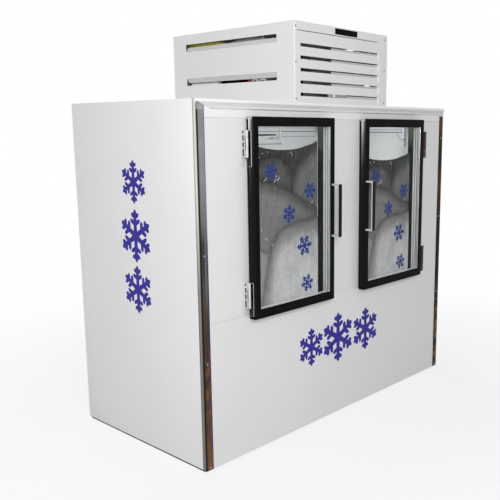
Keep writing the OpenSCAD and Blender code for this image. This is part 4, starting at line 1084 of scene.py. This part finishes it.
def addBags(side):
    low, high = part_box(side + "_display_insert")
    scale = (high.z - low.z - bags["rise"]) / bags["tall"]  # the right door holds the same stack, a little lower
    start = low.y + bags["base"]

    def laidOn(bm, lift):
        for vert in bm.verts:
            vert.co.y += start - bagRelief(vert.co.x - low.x, (vert.co.z - low.z) / scale) - lift

    def bagPiece(name, bm, material, *replaced, smooth=32):
        makePiece(side + name, bm, material, "moulded_film", *replaced, body=side + "_door", smooth=smooth)

    bm = bmesh.new()
    greyAndLightLayer = bm.verts.layers.float.new("tone")
    grid = bmesh.ops.create_grid(bm, x_segments=bags["columns"], y_segments=bags["rows"], size=0.5)["verts"]
    for vert in grid:
        u = (vert.co.x + 0.5) * (high.x - low.x)
        v = (vert.co.y + 0.5) * edgeAt("topEdge", u)[0] * scale
        vert.co = (low.x + u, start - bagRelief(u, v / scale), low.z + v)
        vert[greyAndLightLayer] = iceGreyAndPaintedLight(u, v / scale)
    grown = bmesh.ops.extrude_edge_only(bm, edges=[e for e in bm.edges if e.is_boundary])["geom"]
    for vert in pick(grown, BMVert):
        vert.co.y = high.y - bags["skinBehind"]
    bmesh.ops.contextual_create(bm, geom=pick(grown, BMEdge))
    bagPiece("IceBags", bm, "moulded_film", side + "_display_insert", smooth=70)

    bm = bmesh.new()
    for u, v, radius, turn in flakes["bags"]:
        addFlake(bm, (low.x + u, 0, low.z + v * scale), (1, 0, 0), radius, turn, bags["flakeThick"])
    laidOn(bm, bags["flakeLift"])
    bagPiece("BagSnowflakes", bm, "blue_ink")

    # small pale blobs laid on the film: painted glints
    bm = bmesh.new()
    for u, v, long, turn in bags["glints"]:
        shape = Matrix.Translation((low.x + u, 0, low.z + v * scale)) @ Matrix.Rotation(math.radians(turn), 4, "Y")
        shape = shape @ Matrix.Diagonal((long, bags["glintDeep"], bags["glintWide"], 1))
        bmesh.ops.create_icosphere(bm, subdivisions=2, radius=1, matrix=shape)
    laidOn(bm, bags["glintLift"])
    bagPiece("FilmGlints", bm, "bright_film")


for side in ("left", "right"):
    addBags(side)
print("freezer: ice bags done")


# roof housing

housing = {"corner": 0.005, "sheet": 0.002, "louvres": 5, "first": 0.037, "pitch": 0.055, "slot": 0.015,
           "slotLeft": 0.039, "slotRight": 0.086, "slitEnds": (0.017, 0.091), "slitDown": (0.0424, 0.0392),
           "flapStart": 0.235, "flapDeep": 0.015, "flapRise": 0.0036, "flapThick": 0.0012, "flapEnd": 0.004,
           "endStep": 0.002, "endTurn": 15, "endLeast": 0.12, "bulge": (0.006, 0.003, 0.019),
           "bulgeAt": (0.01, -0.006), "bulgeCut": 0.0005, "sideFront": 0.113, "sideLong": 0.655, "sideTall": 0.037,
           "sideLow": 0.121, "sidePitch": 0.17, "sideFlap": 0.026, "backLow": 0.107, "backPitch": 0.044,
           "backEnds": 0.074}

grilleLow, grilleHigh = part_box("front_grille")
lidLow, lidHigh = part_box("housing_lid")
sheet, corner, front, top, back = housing["sheet"], housing["corner"], lidLow.y, lidHigh.z, lidHigh.y
left, right = lidLow.x + corner, lidHigh.x - corner


def addBend(bm, axis, middle, turns, start, end):
    # a quarter of a thin-walled tube
    first, last, *steps = turns
    outline = arc(middle, corner, first, last, *steps) + arc(middle, corner - sheet, last, first, *steps)
    addSection(bm, outline, axis, start, end)


levels = [grilleLow.z + housing["first"] + i * housing["pitch"] for i in range(housing["louvres"])]
slots = [(grilleLow.x + housing["slotLeft"], grilleHigh.x - housing["slotRight"], z - housing["slot"] / 2,
          z + housing["slot"] / 2) for z in levels]
slitLeft, slitRight = housing["slitEnds"]
slit = (lidLow.x + slitLeft, lidHigh.x - slitRight, *[top - down for down in housing["slitDown"]])
bm = bmesh.new()
addSheet(bm, 1, front, sheet, (left, right, grilleLow.z, top - corner), slots + [slit])
for x, turns in ((left, (180, 270)), (right, (270, 360))):
    addBend(bm, 2, (x, front + corner), turns, grilleLow.z, top - corner)
makePiece("housingFront", bm, "housing_paint", "white_paint", "front_grille")

bm = bmesh.new()
for u0, u1, z0, z1 in slots:
    # each louvre is pressed in from the slot's lower edge and closes in a curve at its right end
    deep, rise = housing["flapDeep"], z1 - z0 - housing["flapRise"]
    outline = [(front + 0.0002, z0 - 0.0005)]
    outline += [(front + deep * b, z0 + rise * (1 - a)) for a, b in map(swing, range(15, 91, 15))]
    inner = [(y + housing["flapThick"], z - housing["flapThick"]) for y, z in reversed(outline)]
    reach = u1 - housing["flapEnd"]
    addSection(bm, outline + inner, 0, u0 + housing["flapStart"], reach)
    shares = [max(swing(step * housing["endTurn"])[0], housing["endLeast"]) for step in range(7)]
    for step in range(6):
        end = [f for f in bm.faces if all(abs(v.co.x - (reach + step * housing["endStep"])) < tiny for v in f.verts)
               and z0 - 0.01 < f.calc_center_median().z < z1 + 0.01]
        for vert in extrude(bm, end, (housing["endStep"], 0, 0)):
            vert.co.y = front + (vert.co.y - front) * shares[step + 1] / shares[step]
        bmesh.ops.delete(bm, geom=[f for f in end if f.is_valid], context="FACES")
makePiece("housingLouvres", bm, "housing_paint", "white_paint", smooth=50)

# the closed right end of each louvre bulges out of the sheet a little, in the brighter white of cap_band: a painted
# highlight
bm = bmesh.new()
bulgeX, bulgeZ = housing["bulgeAt"]
for u0, u1, z0, z1 in slots:
    shape = Matrix.Translation((u1 + bulgeX, front, z0 + bulgeZ)) @ Matrix.Diagonal((*housing["bulge"], 1))
    bmesh.ops.create_uvsphere(bm, u_segments=20, v_segments=12, radius=1, matrix=shape)
bmesh.ops.edgeloop_fill(bm, edges=cutOff(bm, (0, front + housing["bulgeCut"], 0), (0, 1, 0), tiny))
makePiece("louvreEnds", bm, "cap_band", "white_paint", smooth=60)

bm = bmesh.new()
middle = (front + corner, top - corner)
outline = [(back, top), (back, top - sheet)] + arc(middle, corner - sheet, 90, 180, 5) + arc(middle, corner, 180, 90, 5)
addSection(bm, outline, 0, left, right)
for x, turns in ((left, (180, 90, 5)), (right, (0, 90, 5))):
    addBend(bm, 1, (x, top - corner), turns, front + corner * 0.6, back)
makePiece("housingLid", bm, "housing_paint", "white_paint", "housing_lid", smooth=40)

for side, way in (("left", 1), ("right", -1)):
    low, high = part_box("housing_" + side + "_panel")
    outerX = low.x if way > 0 else high.x
    y = front + housing["sideFront"]
    holes = []
    for i in range(2):
        z = grilleLow.z + housing["sideLow"] + i * housing["sidePitch"]
        holes.append((y, y + housing["sideLong"], z - housing["sideTall"] / 2, z + housing["sideTall"] / 2))
    bm = bmesh.new()
    addSheet(bm, 0, outerX, way * sheet, (front + corner, high.y, low.z, top - corner), holes)
    flap = housing["sideFlap"]
    for (y0, y1, z0, z1), hangs in zip(holes, (True, False)):
        # the lower slot's flap hangs from its upper edge, the upper slot's stands on its lower edge
        root, run = (z1, -1) if hangs else (z0, 1)
        outline = [(0, 0), (0.0022, 0.0012), (flap * 0.56, flap * 0.86), (flap * 0.56 + 0.0014, flap * 0.83),
                   (0.0036, -0.0004), (0.001, -0.0012)]
        addSection(bm, [(outerX + way * x, root + run * z) for x, z in outline], 1, y0 - 0.0005, y1 + 0.0005)
    name = "housing" + side.capitalize() + "Side"
    makePiece(name, bm, "housing_paint", "white_paint", "housing_" + side + "_panel")

low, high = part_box("housing_back_panel")
levels = [low.z + housing["backLow"] + i * housing["backPitch"] for i in range(housing["louvres"])]
holes = [(low.x + housing["backEnds"], high.x - housing["backEnds"], z, z + housing["slot"]) for z in levels]
bm = bmesh.new()
addSheet(bm, 1, high.y, -sheet, (low.x, high.x, low.z, top - sheet), holes)
for u0, u1, z0, z1 in holes:
    outline = [(-0.0002, z1), (-0.012, z0 + 0.002), (-0.0132, z0 + 0.0028), (-0.0016, z1 + 0.0012)]
    addSection(bm, [(high.y + y, z) for y, z in outline], 0, u0 - 0.0005, u1 + 0.0005)
makePiece("housingBack", bm, "housing_paint", "white_paint", "housing_back_panel")

# sleeved pipe, hose and wires that show in the left slots
# each run is (way in from the side, radius, number of sides, (y, z) points)
runs = {
    "pipeSleeve": ("olive_sleeve", [(0.052, 0.0135, 14, [(0.335, 1.899), (0.24, 1.8985), (0.124, 1.8952),
                                                         (0.075, 1.887), (0.027, 1.8775), (-0.01, 1.87)])]),
    "paleHose": ("grey_plastic", [
        (0.054, 0.0135, 14, [(0.04, 1.87), (0, 1.884), (-0.05, 1.8915), (-0.094, 1.8955), (-0.13, 1.897),
                             (-0.167, 1.8952), (-0.21, 1.889), (-0.252, 1.88), (-0.275, 1.872)]),
        (0.03, 0.0032, 10, [(-0.235, z) for z in (1.855, 1.88, 1.905)])]),
    "paleWires": ("cap_band", [
        (0.024, 0.0034, 8, [(-0.257, 1.697), (-0.236, 1.705), (-0.215, 1.699)]),
        (0.024, 0.0034, 8, [(-0.203, 1.6985), (-0.1845, 1.7065), (-0.166, 1.7005)]),
        (0.04, 0.0125, 14, [(0.3 - 0.0175 * i, 1.6985 + 0.0022 * math.sin(i * 2.1)) for i in range(13)])]),
    "redWire": ("red_wire", [(0.026, 0.0038, 8, [(-0.158, 1.696), (-0.146, 1.705), (-0.134, 1.697)])]),
}
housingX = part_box("housing_left_panel")[0].x
for name, (key, wires) in runs.items():
    bm = bmesh.new()
    for deep, radius, sides, points in wires:
        addWire(bm, [(housingX + deep, y, z) for y, z in points], radius, sides)
    makePiece(name, bm, key, "dark_plastic")

# a bare pale label behind the lowest louvre, and the bare plate
label = {"ends": (-0.124, 0.018), "spot": (-0.084, -0.07), "deep": (0.0006, 0.0018), "spotDeep": (0.0002, 0.001)}
bm = bmesh.new()
z0, z1 = slots[0][2:]
(x0, x1), (y0, y1) = label["ends"], label["deep"]
addRoundBox(bm, (x0, front + y0, z0 + 0.0015), (x1, front + y1, z1 + 0.0005), 0.0004)
(x0, x1), (y0, y1) = label["spot"], label["spotDeep"]
addRoundBox(bm, (x0, front + y0, z0 + 0.002), (x1, front + y1, z1 - 0.0005), 0.0004)
colourFaces(bm, lambda face, spot: spot.y < front + 0.00055)
makePiece("louvreLabel", bm, ["label_grey", "cap_band"], "white_paint")

bm = bmesh.new()
addRoundBox(bm, *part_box("blank_plate"), 0.0005)
makePiece("blankPlate", bm, "plate_black", "dark_plastic", "blank_plate")

screw = {"apart": 0.02, "roof": 1.59, "roofY": -0.465, "cabinetY": -0.468, "inLeft": 0.003, "inRight": 0.016,
         "radius": 0.0038, "height": 0.0014}
clusters = []
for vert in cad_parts["panel_screws"].data.vertices:
    # the middles of the CAD screws, one for each cluster of points
    near = [c for c in clusters if (c[0] / c[1] - vert.co).length < screw["apart"]]
    if near:
        near[0][0] += vert.co
        near[0][1] += 1
    else:
        clusters.append([vert.co.copy(), 1])
bm = bmesh.new()
for total, count in clusters:
    x, _, z = total / count
    onRoof = z > screw["roof"]
    if onRoof:
        x -= screw["inLeft"] if x < 0 else screw["inRight"]
    y = screw["roofY"] if onRoof else screw["cabinetY"]
    addDome(bm, (x, y, z), (0, -1, 0), screw["radius"], screw["height"], 14)
colourFaces(bm, lambda face, spot: spot.z <= screw["roof"])
makePiece("panelScrews", bm, ["dark_chrome", "satin_metal"], "chrome", "panel_screws")
print("freezer: roof housing done")


# what shows inside, above the bags

cooler = {"sheet": 0.002, "lip": 0.004, "lipDown": 0.012, "lipUp": 0.01, "outlets": [(-0.495, -0.31), (-0.118, 0.08)],
          "rows": (1.4345, 1.492, 1.51), "slot": 0.009, "strips": 7, "gap": 0.012, "bracket": 0.018, "end": 0.122}

low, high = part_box("evaporator_cover")
outlets = [(u0, u1, z, z + cooler["slot"]) for u0, u1 in cooler["outlets"] for z in cooler["rows"]]
end, thin = cooler["end"], cooler["sheet"]
bm = bmesh.new()
addSheet(bm, 1, low.y, thin, (low.x, end, low.z, high.z), outlets)
for x in (low.x, end - thin):
    addRoundBox(bm, (x, low.y + thin, low.z), (x + thin, high.y, high.z), 0.0004, 1)
near, lipLow, lipHigh = low.y + 0.0005, low.z - cooler["lipDown"], low.z + cooler["lipUp"]
addRoundBox(bm, (low.x, low.y - cooler["lip"], lipLow), (end, near, lipHigh), 0.0016, 3)
addRoundBox(bm, (end - cooler["bracket"], low.y - 0.003, low.z + 0.012), (end, near, high.z - 0.004), 0.0012)
stripDeep = (high.y - low.y - thin) / cooler["strips"]
for i in range(cooler["strips"]):
    y = low.y + thin + i * stripDeep
    addRoundBox(bm, (low.x, y, low.z), (end, y + stripDeep - cooler["gap"], low.z + thin), 0.0005, 1)
makePiece("coolerCover", bm, "cooler_paint", "liner_white", "evaporator_cover")

# grey lines along the liner's walls and the cooler, each 0.8 mm proud: partly seams, partly painted shadow lines
lines = {"proud": 0.0008, "sunk": 0.0004, "wall": 0.002, "edge": 0.0003, "sideStart": -0.22,
         "rear": ((1.4555, 1.4605), (1.4785, 1.481), (1.425, 1.4275)), "side": ((1.45, 1.4545), (1.4685, 1.47)),
         "cooler": ((1.4555, 1.46), (1.4775, 1.4795)),
         "marks": ((0.02, 0.068, 1.417, 1.426), (0.086, 0.092, 1.412, 1.432))}
linerLow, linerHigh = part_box("inner_liner")
wallX, wallY = linerHigh.x - lines["wall"], linerHigh.y - lines["wall"]
proud, sunk, edge = lines["proud"], lines["sunk"], lines["edge"]
bm = bmesh.new()
for z0, z1 in lines["rear"]:
    addRoundBox(bm, (linerLow.x + lines["wall"], wallY - proud, z0), (wallX, wallY + sunk, z1), edge, 1)
for z0, z1 in lines["side"]:
    addRoundBox(bm, (wallX - proud, lines["sideStart"], z0), (wallX + sunk, linerHigh.y - 0.003, z1), edge, 1)
for z0, z1 in lines["cooler"]:
    addRoundBox(bm, (low.x, low.y - proud, z0), (end, low.y + sunk, z1), edge, 1)
# a dark strip along the foot of the cooler's lip: a painted shadow line
addRoundBox(bm, (low.x, low.y - 0.0052, low.z - 0.013), (end - 0.004, low.y - 0.0032, low.z - 0.008), 0.0005, 1)
for x0, x1, z0, z1 in lines["marks"]:
    addRoundBox(bm, (x0, low.y - 0.0012, z0), (x1, low.y + sunk, z1), 0.0004, 1)
makePiece("linerSeams", bm, "line_grey", "liner_white")

# white edge strips over the rear and the front of the jambs
jambLow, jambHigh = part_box("door_jambs")
glassLowZ, glassHighZ = [spot.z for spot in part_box("left_door_glass")]
bm = bmesh.new()
for x in (-0.145, 0.641):
    for near, far in ((jambHigh.y - 0.012, jambHigh.y - 0.0002), (jambLow.y + 0.0002, jambLow.y + 0.011)):
        addRoundBox(bm, (x - 0.001, near, glassLowZ), (x + 0.0005, far, glassHighZ), 0.0004, 1)
makePiece("jambEdges", bm, "white_plastic", "liner_white")

# hanging card with its wire loop, both bare
sensor = {"drops": (0, 0.03, 0.062), "wire": 0.0018, "loopX": -0.01, "loopZ": 1.452, "loopWide": 0.067,
          "loopTall": 0.044, "loopWire": 0.002, "loopPoints": 48, "cardHalf": 0.014, "cardTop": 1.478, "back": 0.004}
low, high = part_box("thermometer")
mid = (low + high) / 2
backY = mid.y + sensor["back"]
bm = bmesh.new()
addWire(bm, [(mid.x, backY, high.z - drop) for drop in sensor["drops"]], sensor["wire"])
turns = [math.tau * i / sensor["loopPoints"] for i in range(sensor["loopPoints"])]
loop = [(mid.x + sensor["loopX"] + sensor["loopWide"] * math.cos(turn), low.y + 0.0015,
         sensor["loopZ"] + sensor["loopTall"] * math.sin(turn)) for turn in turns]
addWire(bm, loop, sensor["loopWire"], 8, True)
makePiece("sensorWire", bm, "seam_filler", "bright_aluminium", "thermometer")
bm = bmesh.new()
half = sensor["cardHalf"]
addRoundBox(bm, (mid.x - half, mid.y - 0.002, low.z), (mid.x + half, backY, sensor["cardTop"]), 0.0012)
makePiece("sensorCard", bm, "cap_band", "white_plastic")
print("freezer: interior done")


# finishes of the solids that keep their own shape

carried = {
    "black_metal": ("base_plate", "compressor", "fan_shroud", "condenser_motor", "evaporator_motors"),
    # header_paint is a lighter copy of the white paint: painted light on the header panel
    "white_paint": ("top_panel", "front_lower_panel", "front_door_panel"), "header_paint": ("front_header_panel",),
    "insulation_foam": ("cabinet_insulation",), "liner_white": ("inner_liner",), "polished_steel": ("door_jambs",),
    "galvanised_steel": ("machine_tray", "control_box", "floor_grate"), "foot_rubber": ("compressor_feet",),
    "coil_metal": ("condenser_coil", "evaporator_coil"), "copper": ("refrigerant_lines",),
    "white_plastic": ("interior_light",),
    "dark_plastic": ("condenser_fan", "thermostat_knob", "power_inlet", "evaporator_fan_left", "evaporator_fan_right"),
}
for key, names in carried.items():
    for name in names:
        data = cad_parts[name].data
        if not data.materials:
            data.materials.append(finish[key])
        for i in range(len(data.materials)):
            data.materials[i] = finish[key]
